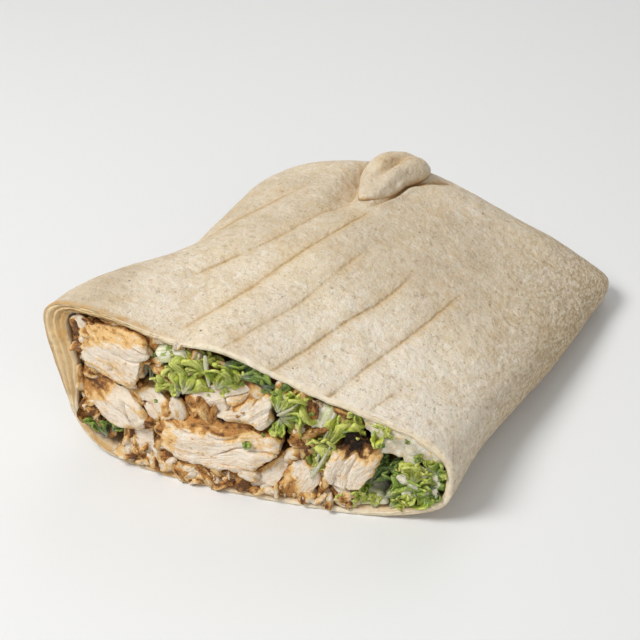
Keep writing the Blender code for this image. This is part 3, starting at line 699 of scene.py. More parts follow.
def meat_mesh(name):
    """Cut strip or chunk of chicken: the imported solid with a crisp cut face, fibres, crags and browning."""
    x0, z0, _, _, _, behind, fibre, browned, brown_from, brown_most, golden, char_from = CHICKEN[name]
    fibre, browned = math.radians(fibre), math.radians(browned)
    seed = Vector((x0 * 7.3, z0 * 5.1, 2.0))
    bm = evened(name)
    reach = outline_of(bm, x0, z0)
    bm.normal_update()

    def from_middle(spot):
        """Step from the piece's middle on the cut, and its length as a share of the outline's."""
        dx, dz = spot.x - x0, spot.z - z0
        return dx, dz, math.hypot(dx, dz) / reach[sector(math.atan2(dz, dx))]

    for vert in bm.verts:
        spot = vert.co
        _, dz, size = from_middle(spot)
        plane = cut_at(spot.x, spot.z) + behind + MEAT_LEAN * max(dz, 0) + 0.02
        face = smooth(-0.05, 0.35, -vert.normal.y) * smooth(1.0, 0.86, size)
        if spot.y < plane + 0.6:
            spot.y = lerp(spot.y, plane, face)
    softened(bm, 1, 0.4)
    look, grain = mark_layers(bm)

    def shift(vert):
        spot = vert.co
        dx, dz, size = from_middle(spot)
        side = 1 - smooth(0.3, 0.8, -vert.normal.y)
        warp = 0.22 * noise(spot * 1.3 + seed)
        u, w = (way + warp for way in turned(dx, dz, fibre))
        bundle = rough(u * 0.6, w * 2.4, spot.y * 1.6, seed)
        strand = rough(u * 1.3, w * 6.5, spot.y * 4.5, seed)
        thread = rough(u * 2.5, w * 17, spot.y * 11, seed)
        crag = noise(spot * 1.5 + seed)
        chip = noise(spot * 4.2 + seed)
        towards = (math.cos(browned) * dx + math.sin(browned) * dz) / reach[sector(browned)]
        patchy = 0.34 * noise(spot * 2.0 + seed) + 0.2 * chip + 0.2 * strand
        brown = brown_most * smooth(brown_from - 0.05, brown_from + 0.4, towards + patchy)
        outer = side * smooth(-0.25, 0.55, 0.08 + patchy + 0.4 * max(towards, 0))
        edge = smooth(0.84, 1.1, size + 0.7 * patchy) * 0.42
        char = smooth(char_from, char_from + 0.3, towards + 1.3 * patchy)
        vert[look] = (min(max(brown, outer, edge), 1.1), char, golden, 1)
        vert[grain] = (u + seed.x, w + seed.y, spot.y)
        split = rough(u * 0.55, w * 2.1, spot.y * 0.8, seed * 1.7)
        crack = bell(split, 0, 0.045) * smooth(-0.1, 0.25, noise(spot * 0.9 - seed))
        ragged = rough(u * 1.6, w * 5.0, spot.y * 3, -seed)
        swell = 0.035 + (0.03 + 0.1 * side) * crag + 0.05 * bundle + 0.02 * strand + 0.008 * thread
        swell += (0.02 + 0.08 * side + 0.07 * char) * chip + 0.07 * side * ragged - 0.09 * crack - 0.03 * char
        return vert.normal * swell

    return shifted(bm, shift, lambda spot: Vector((*spot.xy, max(spot.z, hollow_at(spot.x)[0] - 0.04))))


def held(spot):
    """Spot moved so that it stays inside the tortilla."""
    left, right = walls_near(round(spot.z / HOLLOW_STEP))
    spot.x = clamp(spot.x, left + WALL_GAP, right - WALL_GAP)
    low, high = hollow_at(spot.x)
    spot.z = clamp(spot.z, low + WALL_GAP, high - 0.02)
    return spot


def add_fan(bm, layers, base, aim, spread, length, behind, waves, tone, rng):
    """Frilly torn leaf that fans out from its base on the cut in uneven folds."""
    look, grain = layers
    phase, seed = rng.uniform(0, 6.28), rng.uniform(0, 50)
    ruffle = 0.2 * min(length, 1.0) * rng.uniform(0.85, 1.2)
    lean, curl = rng.uniform(-0.05, 0.22), rng.uniform(-0.3, 0.3) * length
    for vert in bmesh.ops.create_grid(bm, x_segments=FAN_ACROSS, y_segments=FAN_ALONG, size=0.5)["verts"]:
        t, s = vert.co.x * 2, vert.co.y + 0.5
        drift = rough(t * 1.3, s * 1.3, seed)
        crinkle = rough(t * 3.6, s * 3.2, seed + 9)
        frill = rough(t * 8, s * 3, seed + 17)
        fold = math.sin(waves * 1.7 * t + phase + 5 * drift) * (0.6 + abs(drift) * 1.4)
        rise = ruffle * (s ** 1.1 * (0.8 * fold + 1.5 * crinkle) + 0.7 * frill * s ** 2)
        angle = math.radians(aim + t * spread + (34 * drift + 26 * crinkle) * s)
        torn = 1 + 0.45 * rough(t * 2.2, 0, seed + 7) + 0.16 * frill
        reach = length * s * (1 - 0.18 * t * t) * torn * (1 - 0.18 * s ** 3)
        x, z = base[0] + math.cos(angle) * reach, base[1] + math.sin(angle) * reach
        z += rise * 0.45
        depth = behind + 0.1 + lean * length * s + curl * s ** 2.5 - rise
        vert.co = held(Vector((x, cut_at(x, z) + depth, z)))
        # Third mark: how far the fold stands out, which the leaf's colour uses for painted light and shade.
        vert[look] = (clamp(tone + 0.35 * drift), s, 0.5 + 0.5 * clamp(rise / (1.1 * ruffle), -1, 1), 1)
        vert[grain] = (t * spread / 30 + seed, s * length, seed)


def leaf_mesh(name):
    """Bunch of frilly leaves at one spot of the cut, each in two layers."""
    tone, fans = LEAVES[name]
    rng = random.Random(name)
    bm = bmesh.new()
    layers = mark_layers(bm)
    for x, z, aim, spread, length, behind, waves in fans:
        for layer in range(2):
            add_fan(bm, layers, (x, z), aim + layer * rng.uniform(-14, 14), spread,
                    length * (1 - 0.1 * layer), behind + LEAF_GAP * layer, waves,
                    clamp(tone + rng.uniform(-0.12, 0.12)), rng)
    return bm


def rods_mesh(rng):
    """Thin tapered ribs between two spots of the cut, each with a slight bend."""
    bm = bmesh.new()
    grain = bm.verts.layers.float_vector.new("grain")
    for start, end, thick in THIN_RIBS:
        run = Vector((end[0] - start[0], 0, end[1] - start[1]))
        side = Vector((run.z, 0, -run.x)).normalized()
        sway, seed = rng.uniform(-0.06, 0.06), rng.uniform(0, 40)
        for vert in bmesh.ops.create_uvsphere(bm, u_segments=12, v_segments=18, radius=1)["verts"]:
            round_off = max(1 - vert.co.z ** 2, 0.001) ** 0.25
            x, y, s = vert.co.x / round_off, vert.co.y / round_off, (vert.co.z + 1) / 2
            middle = Vector((start[0], 0, start[1])) + run * s + side * sway * math.sin(math.pi * s)
            width = thick * (1.15 - 0.6 * s)
            at = middle + side * (x * width) + Vector((0, y * width * 0.7, 0))
            at.y += cut_at(at.x, at.z) - 0.02
            vert.co = held(at)
            vert[grain] = (x + seed, s * 3, y)
    bmesh.ops.recalc_face_normals(bm, faces=bm.faces)
    return bm


def scraps_mesh(rng):
    """Small scraps of leaf, and curled leaf ends low on the right."""
    bm = bmesh.new()
    layers = mark_layers(bm)
    for x, z, size, aim in HERBS:
        add_fan(bm, layers, (x, z), aim, spread=40, length=size, behind=-0.26, waves=1, tone=0.6, rng=rng)
    for x, z, aim, spread, size, tone in LOOPS:
        add_fan(bm, layers, (x, z), aim, spread, size, behind=-0.04, waves=4, tone=tone, rng=rng)
    return bm


def rib_mesh(name):
    """Thick pale rib of a leaf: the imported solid, softened, with shallow furrows."""
    x0, z0, _, _, turn = RIBS[name]
    bm = evened(name)
    softened(bm, 3)
    grain = bm.verts.layers.float_vector.new("grain")

    def shift(vert):
        u, w = turned(vert.co.x - x0, vert.co.z - z0, math.radians(turn))
        furrow = rough(u * 0.9, w * 4.5, vert.co.y * 4 + x0)
        lump = noise(vert.co * 1.7) + 0.5 * noise(vert.co * 4)
        vert[grain] = (w * 2 + x0, u, vert.co.y)
        return vert.normal * (0.04 + 0.06 * furrow + 0.05 * lump)

    return shifted(bm, shift, held)


def dressing_mesh():
    """Creamy smear of dressing with soft lumps."""
    bm = evened("dressing")
    softened(bm, 4)

    def shift(vert):
        lump = noise(vert.co * 2.2) + 0.5 * noise(vert.co * 5)
        return vert.normal * (0.06 + 0.13 * lump)

    return shifted(bm, shift, held)


def sauce_mesh():
    """Thin sauce smeared under the top edge and dabbed over the leaves at the right end."""
    rng = random.Random(SAUCE_SEED)
    bm = bmesh.new()
    for k in range(SAUCE_SMEARS + SAUCE_DABS):
        dab = k >= SAUCE_SMEARS
        x = rng.uniform(8.5, 9.75) if dab else rng.uniform(7.9, 9.8)
        low, high = hollow_at(x)
        z = rng.uniform(low + 0.3, high - 0.3) if dab else high - 0.02 - abs(rng.gauss(0, 0.22))
        size = rng.uniform(0.12, 0.2) if dab else rng.uniform(0.18, 0.34)
        spot = Vector((x, cut_at(x, z) + (0.1 if dab else rng.uniform(0.12, 0.24)), z))
        for vert in bmesh.ops.create_icosphere(bm, subdivisions=4, radius=size)["verts"]:
            lump = 1 + 0.6 * noise(vert.co * 5 + spot)
            vert.co = held(spot + Vector((vert.co.x * 1.4, vert.co.y * 0.4, vert.co.z * 1.1)) * lump)
    bm = remeshed(bm, SAUCE_MESH)
    softened(bm, 6)
    return bm


def size_of(row, x, z):
    """How far a spot lies from the middle of a piece, as a share of the piece's outline."""
    u, w = turned(x - row[0], z - row[1], math.radians(row[4]))
    return math.hypot(u / row[2], w / row[3])


def add_crumb(bm, layers, spot, size, rng, kind, free=False):
    """Small torn scrap with its own colour, cut flat on three sides and grilled on one."""
    look, grain = layers
    brown, char, golden = kind
    stretch = Vector((rng.uniform(1.1, 2.5), rng.uniform(0.7, 1.1), rng.uniform(0.6, 1.0)))
    turn = Matrix.Rotation(rng.uniform(0, math.pi), 3, "Y") @ Matrix.Rotation(rng.uniform(-0.6, 0.6), 3, "X")
    seed = Vector((rng.uniform(0, 90), 0, 0))

    def way():
        return Vector(rng.gauss(0, 1) for _ in range(3)).normalized()

    cuts = [(way(), rng.uniform(0.5, 0.9)) for _ in range(3)]
    grilled = way()
    for vert in bmesh.ops.create_icosphere(bm, subdivisions=3, radius=1)["verts"]:
        at = vert.co.normalized()
        flat = min([1.0] + [far / at.dot(cut) for cut, far in cuts if at.dot(cut) > 0.05])
        torn = 0.42 * noise(at * 1.2 + seed)
        torn += 0.26 * rough(at.x * 0.9, at.y * 3.4, at.z * 3.4, seed)
        at *= flat + torn
        side = brown + (0.45 * grilled.dot(vert.co) + 0.9 * noise(vert.co * 1.2 - seed))
        vert[look] = (clamp(side, 0, 1.2), char * smooth(0, 0.4, torn), golden, 1)
        vert[grain] = vert.co * size * 2 + seed
        moved = spot + turn @ Vector(a * b for a, b in zip(at, stretch)) * size
        vert.co = moved if free else held(moved)
        vert.co.z = max(vert.co.z, 0.02)


def crumb_mesh(low_band):
    """Scraps of chicken: along the bottom of the cut, or in the gaps between the pieces."""
    rng = random.Random(CRUMB_SEED + low_band)
    rows = [*CHICKEN.values(), *RIBS.values(), DRESSING]
    fans = [fan for _, group in LEAVES.values() for fan in group]
    bm = bmesh.new()
    layers = mark_layers(bm)

    def add(x, z, behind, size, kind, free=False):
        add_crumb(bm, layers, Vector((x, cut_at(x, z) + behind, z)), size, rng, kind, free)

    left = sizes().crumbs
    while left > 0:
        x = rng.uniform(0.9, 7.9) if low_band else rng.uniform(-0.35, 7.9)
        low, high = hollow_at(x)
        z = low + abs(rng.gauss(0, 0.22)) if low_band else rng.uniform(low, high - 0.1)
        nearest = min(size_of(row, x, z) for row in rows)
        green = any(math.hypot(x - fan[0], z - fan[1]) < 0.5 for fan in fans)
        if (green and rng.random() < 0.93) or (nearest < 0.9 and not low_band):
            continue
        over = low_band and rng.random() < 0.12 and 2.6 < x < 7.4
        behind = rng.uniform(-0.06, 0.02) if over else rng.uniform(-0.02, 0.3) + 0.12 * (not low_band)
        z -= rng.uniform(0.02, 0.12) if over else 0
        size = rng.uniform(0.09, 0.22) if low_band else rng.uniform(0.1, 0.25)
        add(x, z, behind, size, rng.choice(KINDS), over)
        left -= 1
    for x0, z0, wide, high, count, size, dark in () if low_band else HEAPS:
        for _ in range(count):
            x, z = rng.gauss(x0, wide / 2), rng.gauss(z0, high / 2)
            kind = BURNT if rng.random() < dark else rng.choice(KINDS)
            behind = rng.uniform(0.05, 0.35)
            add(x, z, behind, size * rng.uniform(0.7, 1.2), kind)
    return bm


# ---- materials ----

def arithmetic(operation):
    """A term's method for one operation, and its method for the same with the values swapped."""
    return (lambda self, other: self.math(operation, self, other),
            lambda self, other: self.math(operation, other, self))


class Term:
    """Socket of a material's node, on which arithmetic adds Math nodes."""

    __add__, __radd__ = arithmetic("ADD")
    __sub__, __rsub__ = arithmetic("SUBTRACT")
    __mul__, __rmul__ = arithmetic("MULTIPLY")
    __truediv__, __rtruediv__ = arithmetic("DIVIDE")

    def __init__(self, finish, socket):
        self.finish, self.socket = finish, socket

    def __abs__(self):
        return self.math("ABSOLUTE", self)

    def math(self, operation, *terms):
        """Result of one Math node."""
        return self.finish.node("ShaderNodeMath", {"operation": operation}, dict(enumerate(terms)))

    def most(self, other):
        """The larger of two values."""
        return self.math("MAXIMUM", self, other)

    def step(self, start, end):
        """Soft step from 0 at start to 1 at end."""
        values = {"Value": self, "From Min": start, "From Max": end}
        return self.finish.node("ShaderNodeMapRange", {"interpolation_type": "SMOOTHSTEP"}, values)

    def bell(self, width):
        """Bell round 0 of about this half width."""
        return self.math("EXPONENT", self.math("POWER", abs(self) / width, 2) * -1)


class Finish:
    """Material whose pattern is written as expressions."""

    def __init__(self, name, **fixed):
        self.material = bpy.data.materials.new(name)
        self.material.use_nodes = True
        self.tree = self.material.node_tree
        self.shader = self.tree.nodes["Principled BSDF"]
        self.wire({socket.replace("_", " "): value for socket, value in fixed.items()})

    def wire(self, values, node=None):
        """Link terms to a node's sockets, or set the sockets' own values."""
        for key, value in values.items():
            socket = (node or self.shader).inputs[key]
            if isinstance(value, Term):
                self.tree.links.new(value.socket, socket)
            else:
                socket.default_value = (*value[:3], 1) if socket.type == "RGBA" else value

    def node(self, kind, settings=None, values=None, output=0):
        """Term of a new node: its settings first, then the values or links of its sockets."""
        node = self.tree.nodes.new(kind)
        for key, value in (settings or {}).items():
            setattr(node, key, value)
        self.wire(values or {}, node)
        return Term(self, node.outputs[output])

    @cached_property
    def spot(self):
        """Place on the object, in centimetres."""
        values = {"Vector": self.node("ShaderNodeTexCoord", output="Object"), "Scale": 1 / METRES}
        return self.node("ShaderNodeVectorMath", {"operation": "SCALE"}, values)

    def split(self, vector):
        """The three numbers of a vector."""
        return [self.node("ShaderNodeSeparateXYZ", {}, {0: vector}, k) for k in range(3)]

    def mark(self, name, output):
        """Attribute of the mesh."""
        return self.node("ShaderNodeAttribute", {"attribute_name": name}, output=output)

    def marks(self, name="look"):
        """The four numbers of a colour attribute."""
        return (*self.split(self.mark(name, "Color")), self.mark(name, "Alpha"))

    def cloud(self, scale, detail=2, roughness=0.5, stretch=None, vector=None):
        """Noise between 0 and 1 over the object or another vector, with a factor for each axis."""
        vector = vector or self.spot
        if stretch:
            vector = self.node("ShaderNodeVectorMath", {"operation": "MULTIPLY"}, {0: vector, 1: stretch})
        values = {"Vector": vector, "Scale": scale, "Detail": detail, "Roughness": roughness}
        return self.node("ShaderNodeTexNoise", {}, values)

    def cells(self, scale, output="Distance"):
        """Distance to the nearest of scattered points, or the colour of its cell."""
        return self.node("ShaderNodeTexVoronoi", {}, {"Vector": self.spot, "Scale": scale}, output)

    def specks(self, scale, least, more, picked):
        """Round specks of uneven size in some of the cells."""
        pick, size, _ = self.split(self.cells(scale, "Color"))
        inside = 1 - (self.cells(scale) / (least + more * size)).step(0.6, 1.1)
        return inside * pick.step(picked, picked + 0.02)

    def layers(self, base, *over):
        """Colour with others laid over it, each with its share."""
        for share, colour in over:
            base = self.node("ShaderNodeMix", {"data_type": "RGBA"}, {0: share, 6: base, 7: colour}, 2)
        return base

    def finish(self, colour, roughness, height, distance, strength, coat=0):
        """Wire colour, roughness, relief and sheen to the shader."""
        bump = self.node("ShaderNodeBump", {}, {"Height": height, "Distance": distance, "Strength": strength})
        self.wire({"Base Color": colour, "Roughness": roughness, "Normal": bump, "Coat Weight": coat})
        return self.material


def dough_finish():
    """Pale toasted wheat dough: soft blotches, fine flecks, specks, grill lines, layered cut edge and painted
    shade.
    """
    c = colours()
    dough = Finish("toasted_dough", Subsurface_Weight=0.06, Subsurface_Scale=0.002, Specular_IOR_Level=0.3)
    x, y, z = dough.split(dough.spot)
    rim, inner, groove, stain = dough.marks()
    sine, cosine, pressed, shade = dough.marks("press")
    top = z.step(0.6, 1.8) * (1 - rim) * (1 - inner)
    ends = x.step(3.2, 6.4)

    # Grill lines with worn and thin places, each with a toasted band.
    wobble = (dough.cloud(1.6) - 0.5) * 0.1
    off = abs(sine.math("ARCTAN2", sine, cosine) * (PRESS_PITCH / (2 * math.pi)) + wobble)
    worn = dough.cloud(1.3, 3, stretch=(1, 0.5, 1)).step(0.27, 0.54)
    thin = dough.cloud(7, 3, 0.6).step(0.3, 0.62)
    line = off.bell(0.045) * pressed * (0.25 + 0.75 * worn) * (0.45 + 0.55 * thin)
    halo = off.bell(0.2) * pressed * worn

    # Blotches, flecks and specks.
    blotch = dough.cloud(1.9, 5, 0.7).step(0.46, 0.64)
    toast = dough.cloud(0.8, 5, 0.7, (1, 0.8, 1)).step(0.52, 0.7)
    warm = dough.cloud(3.4, 4, 0.66).step(0.56, 0.68)
    pale = dough.cloud(5, 5, 0.72, (1, 0.7, 1)).step(0.5, 0.64)
    fleck = dough.cloud(8, 4, 0.62, (1, 0.7, 1)).step(0.575, 0.69)
    dot = dough.cloud(17).step(0.6, 0.7)
    crowd = 0.55 + 0.6 * dough.cloud(1.1, 3).step(0.38, 0.62) + 0.5 * x.step(3.2, 6.2)
    speck = dough.specks(2.7, 0.05, 0.06, 0.86) * (1 - inner)

    # Paler near the cut; painted shade darker to the back and the left, and toast with painted shade at the
    # sides.
    near = (1 - y.step(-4.1, -0.9)) * (0.12 + 0.24 * x.step(-1.6, 0.8))
    back = y.step(-3.4, 0.2) * (1 - 0.72 * x.step(3.3, 5.1)) * (1 - 0.45 * y.step(3.1, 4.7)) * (1 - shade)
    left = 0.32 * (1 - x.step(-1.6, 0.8)) + 1.1 * (1 - x.step(-5.6, -4.3))
    uneven = 0.75 + 0.5 * dough.cloud(1.1, 5, 0.6).step(0.35, 0.65)
    streaks = dough.cloud(6.5, 4, 0.7, (1, 0.8, 2.4)).step(0.42, 0.6)
    edge = dough.layers(
        c.dough_edge,
        (dough.cloud(5, 3).step(0.35, 0.7), c.dough_warm),
        (shade * 0.85, c.roll),
        (groove * 0.45, c.layer_line),
    )
    colour = dough.layers(
        c.dough,
        (dough.cloud(0.5, 3).step(0.35, 0.65), c.dough_warm),
        (blotch * 0.56, c.dough_tan),
        (pale * (0.62 - 0.25 * ends), c.dough_pale),
        (near * top, c.dough_pale),
        # Painted shade, uneven in strength: darker dough away from the cut and at the left end.
        (back.most(left) * uneven * 0.46, c.dough_painted_shade),
        (toast * 0.38 * top, c.toast),
        (warm * 0.3 * top, c.toast),
        (fleck * 0.5 * crowd, c.fleck),
        (dot * 0.4 * crowd, c.fleck),
        (halo * 0.48, c.toast),
        (line * 0.85, c.press_line),
        # Toast with painted shade: the closed right side and the low sides are darker, in streaks.
        ((ends * 0.64 + (1 - z.step(0.2, 2.2)) * 0.4) * (0.12 + 0.85 * streaks), c.dough_side_toast_and_shade),
        # Painted shade, tinted tan, in the valley, the creases, the lip's dimple and under the lip's edge;
        # darkest in the creases' middles.
        (shade * (1 - rim) * (0.62 + 0.35 * blotch), c.valley),
        (shade.step(0.74, 1) * (1 - rim) * 0.55, c.crease),
        (speck * 0.85, c.speck),
        (rim * 0.85, edge),
        (stain * (0.45 + 0.5 * dough.cloud(3, 3).step(0.3, 0.6)), c.stain),
    )
    pores = dough.cloud(14, 4, 0.65)
    blister = (1 - dough.cells(2.6).step(0.05, 0.42)) * 0.25
    height = pores * 0.3 + dough.cloud(4, 4, 0.6) * 1.3 + blister - line * 0.7 - fleck * 0.1
    return dough.finish(colour, 0.6 + 0.25 * pores - 0.1 * toast, height, 0.0008, 0.7)


def meat_finish():
    """Grilled chicken: white fibrous cut faces, golden and browned skin, char and a wet sheen."""
    c = colours()
    meat = Finish("grilled_meat", Subsurface_Weight=0.08, Subsurface_Scale=0.002,
                  Subsurface_Radius=(1, 0.5, 0.3), Coat_Roughness=0.25, Specular_IOR_Level=0.3)
    grain = meat.mark("grain", "Vector")
    brown, char, golden, _ = meat.marks()
    strand = meat.cloud(1, 4, 0.65, (0.8, 5, 4.5), grain)
    thread = meat.cloud(1, 2, 0.6, (1.8, 18, 14), grain)
    patch = meat.cloud(2.6, 4, 0.65)
    fine = meat.cloud(9, 4, 0.7)
    level = brown + golden * 0.3 + (fine - 0.5) * 1.2 + (strand - 0.5) * 1.4 + (patch - 0.5)
    crusty = (fine - 0.5) * 2.2 + (patch - 0.5) * 0.9
    colour = meat.layers(
        c.meat,
        (patch.step(0.4, 0.6), c.meat_grey),
        (strand.step(0.55, 0.7) * 0.55, c.meat_shade),
        (thread.step(0.58, 0.75) * 0.35, c.meat_shade),
        (level.step(0.16, 0.62) * 0.95, c.golden),
        (level.step(0.62, 1.02) * 0.9, c.browned),
        (level.step(1.05, 1.38) * 0.9, c.dark_brown),
        ((char + crusty * 0.6).step(0.1, 0.5) * 0.85, c.dark_brown),
        ((char + crusty).step(0.62, 1.05) * 0.95, c.char),
    )
    wet = patch.step(0.4, 0.7)
    height = strand * 1.2 + thread * 0.5 + fine * (0.9 + 3 * char)
    roughness = 0.48 - 0.16 * wet + 0.38 * char
    return meat.finish(colour, roughness, height, 0.0008, 0.9, (0.04 + 0.2 * wet) * (1 - char * 0.9))


def leaf_finish():
    """Romaine: yellow-green to dark leaf with pale base, branching veins and painted light and shade on its
    folds.
    """
    c = colours()
    leaf = Finish("romaine_green", Specular_IOR_Level=0.35, Subsurface_Weight=0.12, Subsurface_Scale=0.001,
                  Subsurface_Radius=(0.6, 1, 0.2), Coat_Roughness=0.2)
    grain = leaf.mark("grain", "Vector")
    tone, along, light, _ = leaf.marks()
    # Painted shade: the leaf is darker where a fold sinks back and lighter where it stands out.
    tint = tone - 0.1 + (leaf.cloud(2.6, 4, 0.6) - 0.5) + (0.5 - light) * 0.4
    vein = abs(leaf.cloud(1, stretch=(8, 2, 1), vector=grain) - 0.5).bell(0.028)
    crinkle = leaf.cloud(1.8, 3, 0.65, (5, 5, 1), grain)
    colour = leaf.layers(
        c.leaf_light,
        (tint.step(0, 0.42), c.leaf_mid),
        (tint.step(0.42, 0.9), c.leaf_dark),
        (vein * (1 - along * 0.4) * 0.55, c.vein),
        ((1 - along).step(0.55, 1) * (1 - tone * 0.75) * 0.9, c.rib),
        # Painted shade in the crinkles' hollows.
        ((1 - crinkle.step(0.35, 0.55)) * 0.34, c.leaf_dark),
        # Painted highlight on the raised folds and crinkle ridges.
        ((light + (crinkle - 0.5) * 1.2).step(0.5, 0.95) * 0.6 * (1 - tone * 0.85), c.leaf_painted_highlight),
    )
    wet = leaf.cloud(4).step(0.4, 0.6)
    return leaf.finish(colour, 0.45 - 0.15 * wet, crinkle * 1.3 + vein * 0.6, 0.0007, 0.8, 0.05 + 0.25 * wet)


def rib_finish():
    """Pale juicy rib with fine lengthwise lines, smeared with sauce and bits of leaf."""
    c = colours()
    rib = Finish("romaine_rib_pale", Subsurface_Weight=0.15, Subsurface_Scale=0.002,
                 Subsurface_Radius=(0.8, 1, 0.5), Coat_Roughness=0.15)
    grain = rib.mark("grain", "Vector")
    lines = rib.cloud(1, 3, 0.6, (4, 0.8, 3), grain)
    hairs = rib.cloud(1, 2, 0.6, (14, 1.5, 9), grain)
    patch = rib.cloud(2.3, 4, 0.65)
    sauce = rib.cloud(3.6, 3, 0.6).step(0.52, 0.64)
    colour = rib.layers(
        c.rib,
        (lines.step(0.4, 0.62), c.rib_green),
        (hairs.step(0.5, 0.7) * 0.45, c.rib_green),
        (patch.step(0.55, 0.68) * 0.45, c.leaf_light),
        (patch.step(0.66, 0.76) * 0.6, c.leaf_mid),
        (sauce * 0.6, c.cream),
    )
    height = lines + hairs * 0.6 + sauce * 0.4
    return rib.finish(colour, 0.36 + 0.1 * lines, height, 0.0007, 0.8, 0.2 + 0.1 * lines)


def cream_finish():
    """Creamy dressing over mixed bits, with pepper specks."""
    c = colours()
    cream = Finish("creamy_dressing", Subsurface_Weight=0.15, Subsurface_Scale=0.002, Coat_Roughness=0.15)
    thick = cream.cloud(2.4, 4, 0.65)
    bits = cream.cloud(4.5, 4, 0.68)
    colour = cream.layers(
        c.cream,
        (thick.step(0.4, 0.6), c.cream_shade),
        (cream.cloud(6, 3, 0.6).step(0.5, 0.62) * 0.5, c.rib),
        (bits.step(0.56, 0.64) * 0.7, c.golden),
        (cream.cloud(3.3, 3, 0.6).step(0.62, 0.69) * 0.6, c.leaf_mid),
        (cream.specks(5, 0.06, 0.1, 0.6) * 0.9, c.speck),
    )
    height = thick * 1.4 + bits * 0.6
    return cream.finish(colour, 0.34 + 0.1 * thick, height, 0.0012, 0.8, 0.2 + 0.1 * thick)


def packed_shade_finish():
    """Mixed filling behind the cut pieces, its colours painted dark as shade."""
    c = colours()
    packed = Finish("packed_filling", Coat_Roughness=0.3)
    mixed = packed.cloud(1.8, 4, 0.6)
    green = packed.cloud(1.1, 3).step(0.55, 0.65) * 0.6
    # Dark browns and dark green: the filling's colours painted dark as shade.
    colour = packed.layers(c.dark_brown, (mixed.step(0.4, 0.6), c.browned), (green, c.leaf_dark))
    return packed.finish(colour, 0.55 - 0.1 * mixed, mixed, 0.003, 0.9)


# ---- operators and panel ----

def length(name, description, default):
    """Length property in metres."""
    return bpy.props.FloatProperty(name=name, description=description, default=default, unit="LENGTH",
                                   precision=5)


def colour(name, description, default):
    """Colour property."""
    return bpy.props.FloatVectorProperty(name=name, description=description, default=default, size=3,
                                         subtype="COLOR", min=0, max=1)


class WrapSizes(bpy.types.PropertyGroup):
    """Sizes of the wrap that can be changed."""

    wall: length("Wall", "Thickness of one layer of tortilla", 0.002)
    roll_wall: length("Roll", "Extra thickness of the rolled layers at the left end", 0.005)
    press_depth: length("Grill lines", "Depth of the pressed grill lines", 0.0004)
    valley_depth: length("Valley", "Depth of the valley beside the tucked lip", 0.0032)
    leaf: length("Leaf", "Thickness of a leaf", 0.0005)
    meat_mesh: length("Meat mesh", "Mesh size of the chicken pieces", 0.0003)
    crumbs: bpy.props.IntProperty(name="Crumbs", description="Number of small scraps in each band",
                                  default=150, min=0)


class WrapColours(bpy.types.PropertyGroup):
    """Colours of the wrap that can be changed."""

    dough: colour("Dough", "Plain dough", (0.8, 0.695, 0.54))
    dough_pale: colour("Pale dough", "Floury places", (0.925, 0.86, 0.755))
    dough_warm: colour("Warm dough", "Warmer dough", (0.79, 0.675, 0.49))
    dough_tan: colour("Tan dough", "Tan blotches", (0.66, 0.5, 0.3))
    # Painted shade: darker dough away from the cut and at the left end.
    dough_painted_shade: colour("Baked dough", "Darker dough away from the cut", (0.5, 0.39, 0.25))
    # Toasted dough with painted shade, for the closed right side and low down.
    dough_side_toast_and_shade: colour("Side dough", "Darker dough at the closed side", (0.4, 0.275, 0.135))
    dough_edge: colour("Cut edge", "Cut edge of the dough", (0.88, 0.79, 0.61))
    roll: colour("Roll", "Rolled layers at the left end", (0.82, 0.61, 0.32))
    toast: colour("Toast", "Toasted patches", (0.62, 0.43, 0.21))
    press_line: colour("Grill line", "Thin pressed line", (0.5, 0.315, 0.115))
    # Tan tint of painted shade in the valley, the creases, the dimple and under the lip.
    valley: colour("Valley", "Dough in the valley beside the tuck", (0.47, 0.28, 0.095))
    # Painted shade in the middle of the creases beside the tuck.
    crease: colour("Crease", "Dark middle of the creases beside the tuck", (0.22, 0.12, 0.045))
    fleck: colour("Fleck", "Fine brown flecks", (0.33, 0.205, 0.1))
    speck: colour("Speck", "Small dark specks", (0.05, 0.04, 0.03))
    layer_line: colour("Layer line", "Line between rolled layers", (0.6, 0.36, 0.12))
    stain: colour("Stain", "Dough stained by the filling", (0.56, 0.33, 0.11))
    meat: colour("Meat", "White cut face", (0.9, 0.785, 0.635))
    meat_grey: colour("Grey meat", "Greyer cut face", (0.85, 0.705, 0.545))
    meat_shade: colour("Meat shade", "Between the fibres", (0.58, 0.43, 0.31))
    golden: colour("Golden", "Golden grilled meat", (0.84, 0.53, 0.2))
    browned: colour("Browned", "Browned skin", (0.46, 0.19, 0.034))
    dark_brown: colour("Dark brown", "Darkest browning", (0.105, 0.036, 0.009))
    char: colour("Char", "Charred skin", (0.01, 0.005, 0.003))
    # Painted highlight on the raised folds and crinkle ridges of the leaves.
    leaf_painted_highlight: colour("Bright leaf", "Bright edges of the leaves", (0.76, 0.8, 0.26))
    leaf_light: colour("Light leaf", "Yellow-green leaf", (0.6, 0.64, 0.085))
    leaf_mid: colour("Leaf", "Green leaf", (0.25, 0.4, 0.035))
    leaf_dark: colour("Dark leaf", "Dark leaf", (0.022, 0.062, 0.014))
    vein: colour("Vein", "Veins of the leaves", (0.55, 0.64, 0.24))
    rib: colour("Rib", "Pale rib", (0.83, 0.8, 0.65))
    rib_green: colour("Green rib", "Greener rib", (0.6, 0.61, 0.34))
    cream: colour("Dressing", "Creamy dressing", (0.84, 0.77, 0.63))
    cream_shade: colour("Dressing shade", "Darker dressing", (0.7, 0.6, 0.42))
    floor: colour("Floor", "Plain floor", (0.8, 0.8, 0.79))


